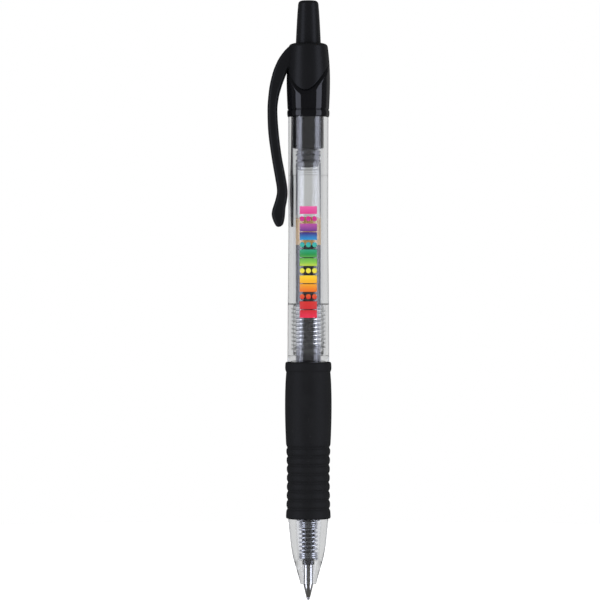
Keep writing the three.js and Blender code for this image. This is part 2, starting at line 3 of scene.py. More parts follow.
import bpy
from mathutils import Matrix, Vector


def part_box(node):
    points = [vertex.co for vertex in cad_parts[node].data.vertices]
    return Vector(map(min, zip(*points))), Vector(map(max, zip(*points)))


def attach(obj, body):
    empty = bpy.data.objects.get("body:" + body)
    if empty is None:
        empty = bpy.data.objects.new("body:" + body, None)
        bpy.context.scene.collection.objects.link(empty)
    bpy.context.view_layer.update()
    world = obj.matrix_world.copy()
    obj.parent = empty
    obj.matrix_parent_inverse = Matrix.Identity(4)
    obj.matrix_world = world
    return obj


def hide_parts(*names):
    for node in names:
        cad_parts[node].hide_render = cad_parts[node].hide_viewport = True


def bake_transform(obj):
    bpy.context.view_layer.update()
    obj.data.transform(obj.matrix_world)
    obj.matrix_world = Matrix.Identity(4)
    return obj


# Retractable gel pen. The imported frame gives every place; sizes below are in millimetres.
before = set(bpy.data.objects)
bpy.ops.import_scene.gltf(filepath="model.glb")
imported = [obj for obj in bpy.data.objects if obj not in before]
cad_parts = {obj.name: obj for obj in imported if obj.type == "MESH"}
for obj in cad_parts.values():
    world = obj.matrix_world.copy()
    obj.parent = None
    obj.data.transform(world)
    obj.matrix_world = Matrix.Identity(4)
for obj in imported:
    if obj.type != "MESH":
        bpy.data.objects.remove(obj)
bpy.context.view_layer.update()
bpy.ops.object.select_all(action="DESELECT")

mm = 0.001
fullTurn = 2 * math.pi


def low(node):
    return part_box(node)[0].z / mm


def high(node):
    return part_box(node)[1].z / mm


def radiusOf(node):
    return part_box(node)[1].x / mm


# stations along the pen, from the nib up
tipZ = low("tip_ball")
noseZ = low("front_barrel")
gripZ = low("grip_sleeve")
collarZ = high("grip_sleeve")
seamZ = low("rear_barrel")
spigotTopZ = high("front_barrel")
spigotZ = low("clip_housing")  # foot of the housing's spigot in the barrel
housingZ = high("rear_barrel")
housingTopZ = high("clip_collar")
buttonTopZ = high("push_button")
print("frame loaded, pen length", round(buttonTopZ - tipZ, 2), "mm")


# Modelling helpers: an outline is drawn point by point and spun about the pen's axis.

def bend(start, control, end, steps=10):
    # points of a curve from start (left out) to end, pulled towards control
    points = []
    for i in range(1, steps + 1):
        t = i / steps
        a, b, c = (1 - t) ** 2, 2 * t * (1 - t), t * t
        points.append(tuple(a * s + b * k + c * e for s, k, e in zip(start, control, end)))
    return points


def through(stations, steps=5):
    # points of a smooth curve through all the stations
    ends = [stations[0]] + list(stations) + [stations[-1]]
    points = [stations[0]]
    for i in range(1, len(ends) - 2):
        p0, p1, p2, p3 = ends[i - 1 : i + 3]
        for step in range(1, steps + 1):
            t = step / steps
            points.append(tuple(
                0.5 * (2 * b + (c - a) * t + (2 * a - 5 * b + 4 * c - d) * t**2
                       + (3 * b - a - 3 * c + d) * t**3)
                for a, b, c, d in zip(p0, p1, p2, p3)
            ))
    return points


def startMesh(name, x, y, z):
    # a single point in edit mode: a small plane merged at its middle
    bpy.ops.object.select_all(action="DESELECT")
    bpy.ops.mesh.primitive_plane_add(size=mm, location=(0, 0, 0))
    piece = bpy.context.active_object
    piece.name = name
    piece.data.name = name
    bpy.ops.object.mode_set(mode="EDIT")
    bpy.ops.mesh.select_mode(type="VERT")
    bpy.ops.mesh.select_all(action="SELECT")
    bpy.ops.mesh.merge(type="CENTER")
    bpy.ops.transform.translate(value=(x * mm, y * mm, z * mm))
    return piece


def drawOn(points, last):
    # extrudes the selected point along a chain of (x, y, z) points
    for point in points:
        step = [(b - a) * mm for a, b in zip(last, point)]
        bpy.ops.mesh.extrude_region_move(TRANSFORM_OT_translate={"value": step})
        last = point


def finishMesh(piece, bevelWidth=0, bevelSteps=3, bevelAngle=35, smoothAngle=30):
    # closes edit mode, rounds the sharp edges and smooths the shading
    bpy.ops.object.mode_set(mode="OBJECT")
    if bevelWidth:
        modifier = piece.modifiers.new("edges", "BEVEL")
        modifier.width = bevelWidth * mm
        modifier.segments = bevelSteps
        modifier.limit_method = "ANGLE"
        modifier.angle_limit = math.radians(bevelAngle)
        bpy.ops.object.modifier_apply(modifier=modifier.name)
    bpy.ops.object.shade_smooth_by_angle(angle=math.radians(smoothAngle))
    return piece


def selectOnly(piece):
    bpy.ops.object.select_all(action="DESELECT")
    bpy.context.view_layer.objects.active = piece
    piece.select_set(True)


def joinAs(name, pieces):
    # joins several pieces into one and leaves it selected
    selectOnly(pieces[0])
    for piece in pieces:
        piece.select_set(True)
    bpy.ops.object.join()
    joined = bpy.context.active_object
    joined.name = name
    joined.data.name = name
    return joined


def spinOutline(name, outline, closed=True, steps=96, **edges):
    # draws the outline of (radius, height) points and spins it about the pen's axis
    points = [(radius, 0, height) for radius, height in outline]
    if closed:
        points.append(points[0])
    piece = startMesh(name, *points[0])
    drawOn(points[1:], points[0])
    bpy.ops.mesh.select_all(action="SELECT")
    bpy.ops.mesh.spin(steps=steps, angle=fullTurn, center=(0, 0, 0), axis=(0, 0, 1))
    bpy.ops.mesh.select_all(action="SELECT")
    bpy.ops.mesh.remove_doubles(threshold=0.0005 * mm)
    bpy.ops.mesh.normals_make_consistent(inside=False)
    return finishMesh(piece, **edges)


def settle(piece, body, slot, material, *nodes):
    # gives a finished piece its material, the body it rides on and the nodes it stands for
    piece.data.materials.clear()
    piece.data.materials.append(material)
    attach(piece, body)
    if nodes:
        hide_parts(*nodes)


# Shader groups shared by the materials, and small helpers to place and link nodes.

def newGroup(name, inputs, outputs):
    group = bpy.data.node_groups.new(name, "ShaderNodeTree")
    for title, kind, value in inputs:
        socket = group.interface.new_socket(title, in_out="INPUT", socket_type=kind)
        socket.default_value = value
    for title, kind in outputs:
        group.interface.new_socket(title, in_out="OUTPUT", socket_type=kind)
    return group, group.nodes.new("NodeGroupInput"), group.nodes.new("NodeGroupOutput")


def addNode(tree, kind, links=(), **settings):
    # adds a node, sets its values and links sockets given as (input, output socket)
    node = tree.nodes.new(kind)
    for key, value in settings.items():
        if key.startswith("in_"):
            node.inputs[key[3:].replace("_", " ")].default_value = value
        else:
            setattr(node, key, value)
    for target, source in links:
        tree.links.new(source, node.inputs[target])
    return node


def mathNode(tree, operation, first, second):
    node = tree.nodes.new("ShaderNodeMath")
    node.operation = operation
    for socket, value in zip(node.inputs, (first, second)):
        if isinstance(value, (int, float)):
            socket.default_value = value
        else:
            tree.links.new(value, socket)
    return node.outputs[0]


def mouldGrainGroup():
    # fine spark-eroded grain: a height for bump and a mask of tiny bright peaks
    tree, inside, out = newGroup(
        "mouldGrain",
        [("Vector", "NodeSocketVector", (0, 0, 0)), ("Scale", "NodeSocketFloat", 9000),
         ("Softness", "NodeSocketFloat", 0.5)],
        [("Height", "NodeSocketFloat"), ("Peaks", "NodeSocketFloat")],
    )
    fine = addNode(tree, "ShaderNodeTexNoise", [("Vector", inside.outputs["Vector"]),
                   ("Scale", inside.outputs["Scale"]), ("Roughness", inside.outputs["Softness"])],
                   in_Detail=3)
    pits = addNode(tree, "ShaderNodeTexVoronoi", [("Vector", inside.outputs["Vector"]),
                   ("Scale", inside.outputs["Scale"])])
    height = mathNode(tree, "ADD", fine.outputs["Fac"],
                      mathNode(tree, "MULTIPLY", pits.outputs["Distance"], 0.5))
    peaks = mathNode(tree, "POWER", fine.outputs["Fac"], 3)
    tree.links.new(height, out.inputs["Height"])
    tree.links.new(peaks, out.inputs["Peaks"])
    return tree


def handlingGroup():
    # marks of use: hair scratches round the pen and smudges, as masks from 0 to 1
    tree, inside, out = newGroup(
        "handlingMarks",
        [("Vector", "NodeSocketVector", (0, 0, 0)), ("Scratches", "NodeSocketFloat", 0.5),
         ("Smudges", "NodeSocketFloat", 0.5)],
        [("Scratch", "NodeSocketFloat"), ("Smudge", "NodeSocketFloat")],
    )
    stretch = addNode(tree, "ShaderNodeMapping", [("Vector", inside.outputs["Vector"])],
                      in_Rotation=(0.5, 0.3, 0.2), in_Scale=(260, 260, 5200))
    lines = addNode(tree, "ShaderNodeTexNoise", [("Vector", stretch.outputs[0])],
                    in_Scale=1.0, in_Detail=2)
    thin = addNode(tree, "ShaderNodeMapRange", [("Value", lines.outputs["Fac"])],
                   in_From_Min=0.66, in_From_Max=0.74)
    cloud = addNode(tree, "ShaderNodeTexNoise", [("Vector", inside.outputs["Vector"])],
                    in_Scale=210.0, in_Detail=4)
    patch = addNode(tree, "ShaderNodeMapRange", [("Value", cloud.outputs["Fac"])],
                    in_From_Min=0.45, in_From_Max=0.72)
    scratch = mathNode(tree, "MULTIPLY", thin.outputs[0], inside.outputs["Scratches"])
    smudge = mathNode(tree, "MULTIPLY", patch.outputs[0], inside.outputs["Smudges"])
    tree.links.new(scratch, out.inputs["Scratch"])
    tree.links.new(smudge, out.inputs["Smudge"])
    return tree


def dustGroup():
    # sparse lint and dust specks
    tree, inside, out = newGroup(
        "dustSpecks",
        [("Vector", "NodeSocketVector", (0, 0, 0)), ("Amount", "NodeSocketFloat", 0.5)],
        [("Mask", "NodeSocketFloat")],
    )
    cells = addNode(tree, "ShaderNodeTexVoronoi", [("Vector", inside.outputs["Vector"])],
                    in_Scale=1500.0)
    speck = addNode(tree, "ShaderNodeMapRange", [("Value", cells.outputs["Distance"])],
                    in_From_Min=0.13, in_From_Max=0.06)
    where = addNode(tree, "ShaderNodeTexNoise", [("Vector", inside.outputs["Vector"])],
                    in_Scale=330.0)
    some = addNode(tree, "ShaderNodeMapRange", [("Value", where.outputs["Fac"])],
                   in_From_Min=0.56, in_From_Max=0.62)
    mask = mathNode(tree, "MULTIPLY", speck.outputs[0], some.outputs[0])
    tree.links.new(mathNode(tree, "MULTIPLY", mask, inside.outputs["Amount"]),
                   out.inputs["Mask"])
    return tree


mouldGrain = mouldGrainGroup()
handlingMarks = handlingGroup()
dustSpecks = dustGroup()


def newMaterial(name):
    material = bpy.data.materials.new(name)
    material.use_nodes = True
    tree = material.node_tree
    shader = tree.nodes["Principled BSDF"]
    place = tree.nodes.new("ShaderNodeTexCoord").outputs["Object"]
    return material, tree, shader, place


def placeGroup(tree, group, place, **values):
    node = tree.nodes.new("ShaderNodeGroup")
    node.node_tree = group
    tree.links.new(place, node.inputs["Vector"])
    for key, value in values.items():
        node.inputs[key].default_value = value
    return node


def mixColours(tree, share, first, second):
    node = tree.nodes.new("ShaderNodeMix")
    node.data_type = "RGBA"
    tree.links.new(share, node.inputs[0])
    for index, value in ((6, first), (7, second)):
        if isinstance(value, tuple):
            node.inputs[index].default_value = (*value, 1)
        else:
            tree.links.new(value, node.inputs[index])
    return node.outputs[2]


def addBump(tree, shader, height, distance, strength=1.0):
    bump = addNode(tree, "ShaderNodeBump", [("Height", height)], in_Strength=strength,
                   in_Distance=distance)
    tree.links.new(bump.outputs[0], shader.inputs["Normal"])


def mouldedBlack(name, look):
    # black moulded plastic or rubber: grain, smudges, hair scratches and a little dust
    peakShare = 0.5
    scratchRough = 0.15
    material, tree, shader, place = newMaterial(name)
    grain = placeGroup(tree, mouldGrain, place, Scale=look["grainScale"])
    marks = placeGroup(tree, handlingMarks, place, Scratches=look["scratches"],
                       Smudges=look["smudges"])
    dust = placeGroup(tree, dustSpecks, place, Amount=look["dust"])
    worn = mixColours(tree, marks.outputs["Smudge"], look["colour"], look["smudgeColour"])
    peaks = mathNode(tree, "MULTIPLY", grain.outputs["Peaks"], peakShare)
    flecked = mixColours(tree, peaks, worn, look["peakColour"])
    dusty = mixColours(tree, dust.outputs["Mask"], flecked, look["dustColour"])
    tree.links.new(dusty, shader.inputs["Base Color"])
    rough = mathNode(tree, "ADD", look["roughness"],
                     mathNode(tree, "MULTIPLY", marks.outputs["Smudge"], look["smudgeRough"]))
    scratched = mathNode(tree, "MULTIPLY", marks.outputs["Scratch"], scratchRough)
    rough = mathNode(tree, "ADD", rough, scratched)
    tree.links.new(rough, shader.inputs["Roughness"])
    height = mathNode(tree, "SUBTRACT", grain.outputs["Height"], marks.outputs["Scratch"])
    addBump(tree, shader, height, look["grainDepth"])
    shader.inputs["IOR"].default_value = look["ior"]
    shader.inputs["Specular IOR Level"].default_value = look["specular"]
    return material


trimBlack = mouldedBlack("trimBlack", {
    "colour": (0.0058, 0.006, 0.0066), "smudgeColour": (0.0072, 0.0074, 0.008),
    "peakColour": (0.012, 0.0122, 0.013), "dustColour": (0.04, 0.04, 0.042),
    "roughness": 0.36, "smudgeRough": -0.04, "scratches": 0.35, "smudges": 0.5, "dust": 0.3,
    "grainScale": 5200, "grainDepth": 0.000008, "ior": 1.5, "specular": 0.12,
})
gripRubber = mouldedBlack("gripRubber", {
    "colour": (0.0054, 0.0056, 0.006), "smudgeColour": (0.0074, 0.0076, 0.008),
    "peakColour": (0.0115, 0.0117, 0.0122), "dustColour": (0.05, 0.05, 0.051),
    "roughness": 0.58, "smudgeRough": 0.12, "scratches": 0.1, "smudges": 0.8, "dust": 0.6,
    "grainScale": 3600, "grainDepth": 0.00002, "ior": 1.47, "specular": 0.17,
})
housingBlack = mouldedBlack("housingBlack", {
    "colour": (0.0032, 0.0032, 0.0038), "smudgeColour": (0.005, 0.005, 0.0056),
    "peakColour": (0.0034, 0.0034, 0.004), "dustColour": (0.05, 0.05, 0.052),
    "roughness": 0.045, "smudgeRough": 0.05, "scratches": 0.5, "smudges": 0.35, "dust": 0.25,
    "grainScale": 2400, "grainDepth": 0.0000012, "ior": 1.52, "specular": 0.33,
})
mechanismBlack = mouldedBlack("mechanismBlack", {
    "colour": (0.008, 0.008, 0.0088), "smudgeColour": (0.012, 0.012, 0.0125),
    "peakColour": (0.014, 0.014, 0.015), "dustColour": (0.03, 0.03, 0.03),
    "roughness": 0.3, "smudgeRough": 0.1, "scratches": 0.2, "smudges": 0.4, "dust": 0.1,
    "grainScale": 4200, "grainDepth": 0.000006, "ior": 1.5, "specular": 0.4,
})


def clearPlastic(name, look):
    # clear moulding: faint flow marks, hair scratches and dust; lamps shine through it
    scratchRough = 0.1
    material, tree, shader, place = newMaterial(name)
    marks = placeGroup(tree, handlingMarks, place, Scratches=look["scratches"],
                       Smudges=look["smudges"])
    dust = placeGroup(tree, dustSpecks, place, Amount=look["dust"])
    smeared = mixColours(tree, marks.outputs["Smudge"], look["colour"], look["smudgeColour"])
    tint = mixColours(tree, dust.outputs["Mask"], smeared, look["dustColour"])
    tree.links.new(tint, shader.inputs["Base Color"])
    rough = mathNode(tree, "ADD", look["roughness"],
                     mathNode(tree, "MULTIPLY", marks.outputs["Smudge"], look["smudgeRough"]))
    scratched = mathNode(tree, "MULTIPLY", marks.outputs["Scratch"], scratchRough)
    rough = mathNode(tree, "ADD", rough, scratched)
    tree.links.new(rough, shader.inputs["Roughness"])
    flow = addNode(tree, "ShaderNodeMapping", [("Vector", place)], in_Scale=(900, 900, 60))
    streaks = addNode(tree, "ShaderNodeTexNoise", [("Vector", flow.outputs[0])], in_Scale=1.0,
                      in_Detail=2)
    height = mathNode(tree, "SUBTRACT", streaks.outputs["Fac"], marks.outputs["Scratch"])
    addBump(tree, shader, height, look["flowDepth"])
    shader.inputs["Transmission Weight"].default_value = 1.0
    shader.inputs["IOR"].default_value = look["ior"]
    output = tree.nodes["Material Output"]
    through = addNode(tree, "ShaderNodeBsdfTransparent", in_Color=(*look["shadow"], 1))
    path = tree.nodes.new("ShaderNodeLightPath")
    mix = tree.nodes.new("ShaderNodeMixShader")
    tree.links.new(path.outputs["Is Shadow Ray"], mix.inputs[0])
    tree.links.new(shader.outputs[0], mix.inputs[1])
    tree.links.new(through.outputs[0], mix.inputs[2])
    tree.links.new(mix.outputs[0], output.inputs["Surface"])
    if look["density"]:
        body = addNode(tree, "ShaderNodeVolumeAbsorption", in_Color=(*look["depthColour"], 1),
                       in_Density=look["density"])
        tree.links.new(body.outputs[0], output.inputs["Volume"])
    return material


clearBarrel = clearPlastic("clearBarrel", {
    "colour": (0.97, 0.975, 0.98), "smudgeColour": (0.93, 0.94, 0.945),
    "dustColour": (0.8, 0.8, 0.8), "roughness": 0.0, "smudgeRough": 0.03, "scratches": 0.25,
    "smudges": 0.25, "dust": 0.12, "flowDepth": 0.000001, "ior": 1.52,
    "shadow": (0.9, 0.9, 0.91), "depthColour": (0.8, 0.82, 0.84), "density": 60.0,
})
refillClear = clearPlastic("refillClear", {
    "colour": (0.97, 0.975, 0.97), "smudgeColour": (0.93, 0.93, 0.92),
    "dustColour": (0.85, 0.85, 0.85), "roughness": 0.03, "smudgeRough": 0.06, "scratches": 0.1,
    "smudges": 0.5, "dust": 0.05, "flowDepth": 0.000002, "ior": 1.49,
    "shadow": (0.92, 0.92, 0.92), "depthColour": (0.8, 0.8, 0.78), "density": 60.0,
})


def turnedMetal(name, look):
    # lathe-turned or drawn metal: fine rings round the pen, tiny stains
    ringRough = 0.08
    stainRough = 0.12
    material, tree, shader, place = newMaterial(name)
    marks = placeGroup(tree, handlingMarks, place, Scratches=0.4, Smudges=look["stains"])
    rings = addNode(tree, "ShaderNodeTexWave", [("Vector", place)], in_Scale=look["rings"],
                    in_Distortion=1.5, in_Detail=2)
    rings.bands_direction = "Z"
    stained = mixColours(tree, marks.outputs["Smudge"], look["colour"], look["stainColour"])
    tree.links.new(stained, shader.inputs["Base Color"])
    rough = mathNode(tree, "ADD", look["roughness"],
                     mathNode(tree, "MULTIPLY", rings.outputs["Fac"], ringRough))
    stains = mathNode(tree, "MULTIPLY", marks.outputs["Smudge"], stainRough)
    rough = mathNode(tree, "ADD", rough, stains)
    tree.links.new(rough, shader.inputs["Roughness"])
    addBump(tree, shader, rings.outputs["Fac"], look["ringDepth"])
    shader.inputs["Metallic"].default_value = 1.0
    return material


tipMetal = turnedMetal("tipMetal", {
    "colour": (0.7, 0.69, 0.66), "stainColour": (0.5, 0.48, 0.44), "roughness": 0.07,
    "stains": 0.4, "rings": 1600.0, "ringDepth": 0.0000008,
})
springSteel = turnedMetal("springSteel", {
    "colour": (0.6, 0.61, 0.63), "stainColour": (0.42, 0.42, 0.43), "roughness": 0.16,
    "stains": 0.4, "rings": 900.0, "ringDepth": 0.0000008,
})
ballMetal = turnedMetal("ballMetal", {
    "colour": (0.5, 0.5, 0.53), "stainColour": (0.1, 0.1, 0.12), "roughness": 0.1,
    "stains": 0.8, "rings": 2500.0, "ringDepth": 0.0000004,
})


inkLook = {"filmScale": 320.0, "deep": (0.0015, 0.0015, 0.003), "thin": (0.006, 0.006, 0.011),
           "roughness": 0.25, "filmRough": 0.3, "filmDepth": 0.000004, "ior": 1.4,
           "specular": 0.03}
greaseLook = {"cloudScale": 700.0, "dark": (0.78, 0.44, 0.1), "light": (0.92, 0.62, 0.22),
              "roughness": 0.2, "cloudRough": 0.3, "cloudDepth": 0.00001, "ior": 1.2,
              "transmission": 0.55}
holderFinish = {"colour": (0.006, 0.006, 0.008), "smudgeColour": (0.02, 0.021, 0.025),
                "scratches": 0.3, "smudges": 0.7, "roughness": 0.12, "smudgeRough": 0.2,
                "smudgeDepth": 0.000004}


def inkMaterial():
    # black gel ink; it wets the tube, so it hardly shines
    look = inkLook
    material, tree, shader, place = newMaterial("inkBlack")
    film = addNode(tree, "ShaderNodeTexNoise", [("Vector", place)], in_Scale=look["filmScale"],
                   in_Detail=3)
    colour = mixColours(tree, film.outputs["Fac"], look["deep"], look["thin"])
    tree.links.new(colour, shader.inputs["Base Color"])
    rough = mathNode(tree, "ADD", look["roughness"],
                     mathNode(tree, "MULTIPLY", film.outputs["Fac"], look["filmRough"]))
    tree.links.new(rough, shader.inputs["Roughness"])
    addBump(tree, shader, film.outputs["Fac"], look["filmDepth"])
    shader.inputs["IOR"].default_value = look["ior"]
    shader.inputs["Specular IOR Level"].default_value = look["specular"]
    return material


def greaseMaterial():
    # amber follower grease, half clear
    look = greaseLook
    material, tree, shader, place = newMaterial("followerGrease")
    cloud = addNode(tree, "ShaderNodeTexNoise", [("Vector", place)], in_Scale=look["cloudScale"],
                    in_Detail=4)
    colour = mixColours(tree, cloud.outputs["Fac"], look["dark"], look["light"])
    tree.links.new(colour, shader.inputs["Base Color"])
    rough = mathNode(tree, "ADD", look["roughness"],
                     mathNode(tree, "MULTIPLY", cloud.outputs["Fac"], look["cloudRough"]))
    tree.links.new(rough, shader.inputs["Roughness"])
    addBump(tree, shader, cloud.outputs["Fac"], look["cloudDepth"])
    shader.inputs["IOR"].default_value = look["ior"]
    shader.inputs["Transmission Weight"].default_value = look["transmission"]
    return material


def holderMaterial():
    # smoky plastic of the tip holder and the seal rings
    look = holderFinish
    material, tree, shader, place = newMaterial("holderSmoke")
    marks = placeGroup(tree, handlingMarks, place, Scratches=look["scratches"],
                       Smudges=look["smudges"])
    colour = mixColours(tree, marks.outputs["Smudge"], look["colour"], look["smudgeColour"])
    tree.links.new(colour, shader.inputs["Base Color"])
    rough = mathNode(tree, "ADD", look["roughness"],
                     mathNode(tree, "MULTIPLY", marks.outputs["Smudge"], look["smudgeRough"]))
    tree.links.new(rough, shader.inputs["Roughness"])
    addBump(tree, shader, marks.outputs["Smudge"], look["smudgeDepth"])
    return material


inkBlack = inkMaterial()
followerGrease = greaseMaterial()
holderSmoke = holderMaterial()
print("materials ready")


# Front section: clear nose and spigot, rubber grip, spring.

frontBarrelLook = {
    "noseEnd": 1.9, "noseHole": 1.245, "coneLength": 5.9, "coneTop": 3.5, "noseTop": 4.72,
    "seat": 4.12, "spigot": 3.65, "bore": 3.2, "chamber": 2.655, "holderBore": 1.535,
    "holderBoreLength": 2.35, "shoulderDrop": 1.35, "coneBulge": 4.2, "gap": 0.05,
    "edgeRound": 0.07,
}
threadLook = {"pitch": 0.95, "turns": 11, "root": 3.45, "crest": 4.16, "edge": 4.08, "foot": 0.44,
              "flat": 0.08, "drop": 0.5, "stepsPerTurn": 48, "runOutTurns": 0.25,
              "runOutHeight": 0.12}


def makeThread():
    # a right-hand ridge wound up the spigot, running out over a quarter turn at each end
    look = threadLook
    length = look["pitch"] * look["turns"]
    middle = spigotTopZ - look["drop"] - length
    root, crest, edge = look["root"], look["crest"], look["edge"]
    foot, flat = look["foot"], look["flat"]
    section = [(root, 0, middle - foot), (edge, 0, middle - flat), (crest, 0, middle - flat / 2),
               (crest, 0, middle + flat / 2), (edge, 0, middle + flat), (root, 0, middle + foot)]
    piece = startMesh("threadRidge", *section[0])
    drawOn(section[1:] + section[:1], section[0])
    bpy.ops.mesh.select_all(action="SELECT")
    bpy.ops.mesh.remove_doubles(threshold=0.0005 * mm)
    bpy.ops.object.mode_set(mode="OBJECT")
    modifier = piece.modifiers.new("wind", "SCREW")
    modifier.axis = "Z"
    modifier.angle = fullTurn * look["turns"]
    modifier.screw_offset = length * mm
    modifier.steps = modifier.render_steps = look["stepsPerTurn"] * look["turns"]
    modifier.use_normal_calculate = True
    bpy.ops.object.modifier_apply(modifier=modifier.name)
    for vertex in piece.data.vertices:
        x, y, z = vertex.co / mm
        rise = (z - middle) / look["pitch"]
        turn = math.atan2(y, x) / fullTurn
        turn += round(rise - turn)
        fromEnd = min(turn, look["turns"] - turn)
        share = max(0, min(1, fromEnd / look["runOutTurns"]))
        height = look["runOutHeight"] + (1 - look["runOutHeight"]) * share
        radius = math.hypot(x, y)
        keep = (root + (radius - root) * height) / radius
        vertex.co.x *= keep
        vertex.co.y *= keep
    bpy.ops.object.mode_set(mode="EDIT")
    bpy.ops.mesh.select_all(action="DESELECT")
    bpy.ops.mesh.select_non_manifold(extend=False)
    bpy.ops.mesh.fill()
    bpy.ops.mesh.select_all(action="SELECT")
    bpy.ops.mesh.normals_make_consistent(inside=False)
    bpy.ops.object.mode_set(mode="OBJECT")
    return piece


def uniteWith(piece, other):
    # joins another closed piece into this one and removes it
    modifier = piece.modifiers.new("unite", "BOOLEAN")
    modifier.operation = "UNION"
    modifier.solver = "EXACT"
    modifier.object = other
    selectOnly(piece)
    bpy.ops.object.modifier_apply(modifier=modifier.name)
    bpy.data.objects.remove(other)


def makeFrontBarrel():
    # nose cone, tube under the grip, collar and threaded spigot, drawn up the outside, down the bore
    look = frontBarrelLook
    gap = look["gap"]
    hole, end = look["noseHole"], look["noseEnd"]
    spigot, bore, chamber = look["spigot"], look["bore"], look["chamber"]
    coneZ = noseZ + look["coneLength"]
    springZ = low("return_spring")
    stepZ = high("return_spring") - look["shoulderDrop"]
    outside = radiusOf("front_barrel")
    outline = [(hole, noseZ + 0.12), (hole + 0.1, noseZ), (end - 0.2, noseZ)]
    outline += bend(outline[-1], (end + 0.02, noseZ), (end + 0.04, noseZ + 0.25), 5)
    outline += bend(outline[-1], (end + 0.04, noseZ + 0.42), (end + 0.08, noseZ + 0.6), 4)
    outline += [(look["coneTop"], coneZ)]
    outline += bend(outline[-1], (look["coneBulge"], coneZ + 2.66), (look["noseTop"], gripZ - gap), 12)
    outline += [
        (look["seat"], gripZ - gap), (look["seat"], collarZ + gap), (outside, collarZ + gap),
        (outside, seamZ - gap), (spigot, seamZ - gap), (spigot, spigotTopZ - 0.3),
        (spigot - 0.15, spigotTopZ), (bore, spigotTopZ), (bore, stepZ), (bore - 0.12, stepZ - 0.6),
        (chamber, springZ + 0.8), (chamber - 0.03, springZ - gap),
        (look["holderBore"], springZ - gap),
        (look["holderBore"] - 0.02, springZ - look["holderBoreLength"]), (hole + 0.02, noseZ + 0.6),
    ]
    piece = spinOutline("frontBarrel", outline, steps=128, bevelWidth=look["edgeRound"])
    uniteWith(piece, makeThread())
    bpy.ops.object.shade_smooth_by_angle(angle=math.radians(30))
    settle(piece, "front_section", "clear_barrel", clearBarrel, "front_barrel")


gripLook = {"bore": 4.17, "hollow": 5.09, "widest": 5.53, "spread": 0.00266, "hollowRise": 9.2,
            "grooves": 8, "pitch": 2.06, "firstGroove": 2.4, "grooveHalf": 0.42, "depth": 0.28,
            "grooveLead": 0.5, "grooveLip": 0.05, "grooveFloor": 0.2, "wallShare": 0.7,
            "floorShare": 1.15}


def makeGrip():
    # a waisted rubber sleeve with rounded grooves round its lower half and a rolled top lip
    look = gripLook

    def ribRadius(z):
        return look["hollow"] + look["spread"] * (z - gripZ - look["hollowRise"]) ** 2

    outline = [(look["bore"], gripZ), (ribRadius(gripZ) - 0.35, gripZ)]
    outline += bend(outline[-1], (ribRadius(gripZ), gripZ), (ribRadius(gripZ + 0.5), gripZ + 0.5), 5)
    for groove in range(look["grooves"]):
        z = gripZ + look["firstGroove"] + groove * look["pitch"]
        lead = look["grooveHalf"] + look["grooveLead"]
        lip = look["grooveHalf"] + look["grooveLip"]
        crown = ribRadius(z)
        wall = crown - look["depth"] * look["wallShare"]
        floor = crown - look["depth"] * look["floorShare"]
        outline += [(ribRadius(z - lead), z - lead)]
        outline += bend(outline[-1], (crown, z - lip), (wall, z - look["grooveFloor"]), 5)
        outline += bend(outline[-1], (floor, z), (wall, z + look["grooveFloor"]), 4)
        outline += bend(outline[-1], (crown, z + lip), (ribRadius(z + lead), z + lead), 5)
    smoothZ = gripZ + look["firstGroove"] + (look["grooves"] - 0.5) * look["pitch"]
    reach = collarZ - smoothZ
    widest = look["widest"]
    outline += bend(outline[-1], (widest, smoothZ + 0.24 * reach), (widest, smoothZ + 0.46 * reach), 12)
    outline += bend(outline[-1], (widest, smoothZ + 0.72 * reach), (widest - 0.3, collarZ - 2.4), 12)
    outline += bend(outline[-1], (widest + 0.04, collarZ - 1.9), (widest - 0.06, collarZ - 0.8), 8)
    outline += bend(outline[-1], (widest - 0.06, collarZ), (widest - 0.46, collarZ), 6)
    outline += [(look["bore"], collarZ)]
    piece = spinOutline("gripSleeve", outline, steps=128)
    settle(piece, "front_section", "grip_rubber", gripRubber, "grip_sleeve")


springLook = {"wire": 0.45, "radius": 2.08, "closedTurns": 3, "openTurns": 6, "gap": 0.02,
              "stepsPerTurn": 28}


def makeSpring():
    # a wound wire with closed coils at both ends; in the pen it shortens as the refill slides, but this
    # mesh keeps one length
    look = springLook
    turns = 2 * look["closedTurns"] + look["openTurns"]
    lowZ = low("return_spring") + look["wire"] / 2
    highZ = high("return_spring") - look["wire"] / 2
    closedPitch = look["wire"] + look["gap"]
    openPitch = (highZ - lowZ - 2 * look["closedTurns"] * closedPitch) / look["openTurns"]
    wire = bpy.data.curves.new("returnSpring", "CURVE")
    wire.dimensions = "3D"
    wire.bevel_depth = look["wire"] / 2 * mm
    wire.bevel_resolution = 4
    wire.use_fill_caps = True
    path = wire.splines.new("POLY")
    count = turns * look["stepsPerTurn"] + 1
    path.points.add(count - 1)
    for i in range(count):
        turn = i / look["stepsPerTurn"]
        opened = max(0, min(look["openTurns"], turn - look["closedTurns"]))
        z = lowZ + (turn - opened) * closedPitch + opened * openPitch
        angle = fullTurn * turn
        path.points[i].co = (look["radius"] * math.cos(angle) * mm,
                             look["radius"] * math.sin(angle) * mm, z * mm, 1)
    piece = bpy.data.objects.new("returnSpring", wire)
    bpy.context.scene.collection.objects.link(piece)
    selectOnly(piece)
    bpy.ops.object.convert(target="MESH")
    piece = bpy.context.active_object
    bpy.ops.object.mode_set(mode="EDIT")
    bpy.ops.mesh.select_all(action="SELECT")
    bpy.ops.mesh.remove_doubles(threshold=0.0005 * mm)
    bpy.ops.mesh.normals_make_consistent(inside=False)
    bpy.ops.object.mode_set(mode="OBJECT")
    bpy.ops.object.shade_smooth_by_angle(angle=math.radians(50))
    piece.data.materials.clear()
    piece.data.materials.append(springSteel)
    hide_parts("return_spring")
    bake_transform(piece)


makeFrontBarrel()
makeGrip()
makeSpring()
print("front section built")


# Rear section: clear barrel, its print, the clip housing and collar.

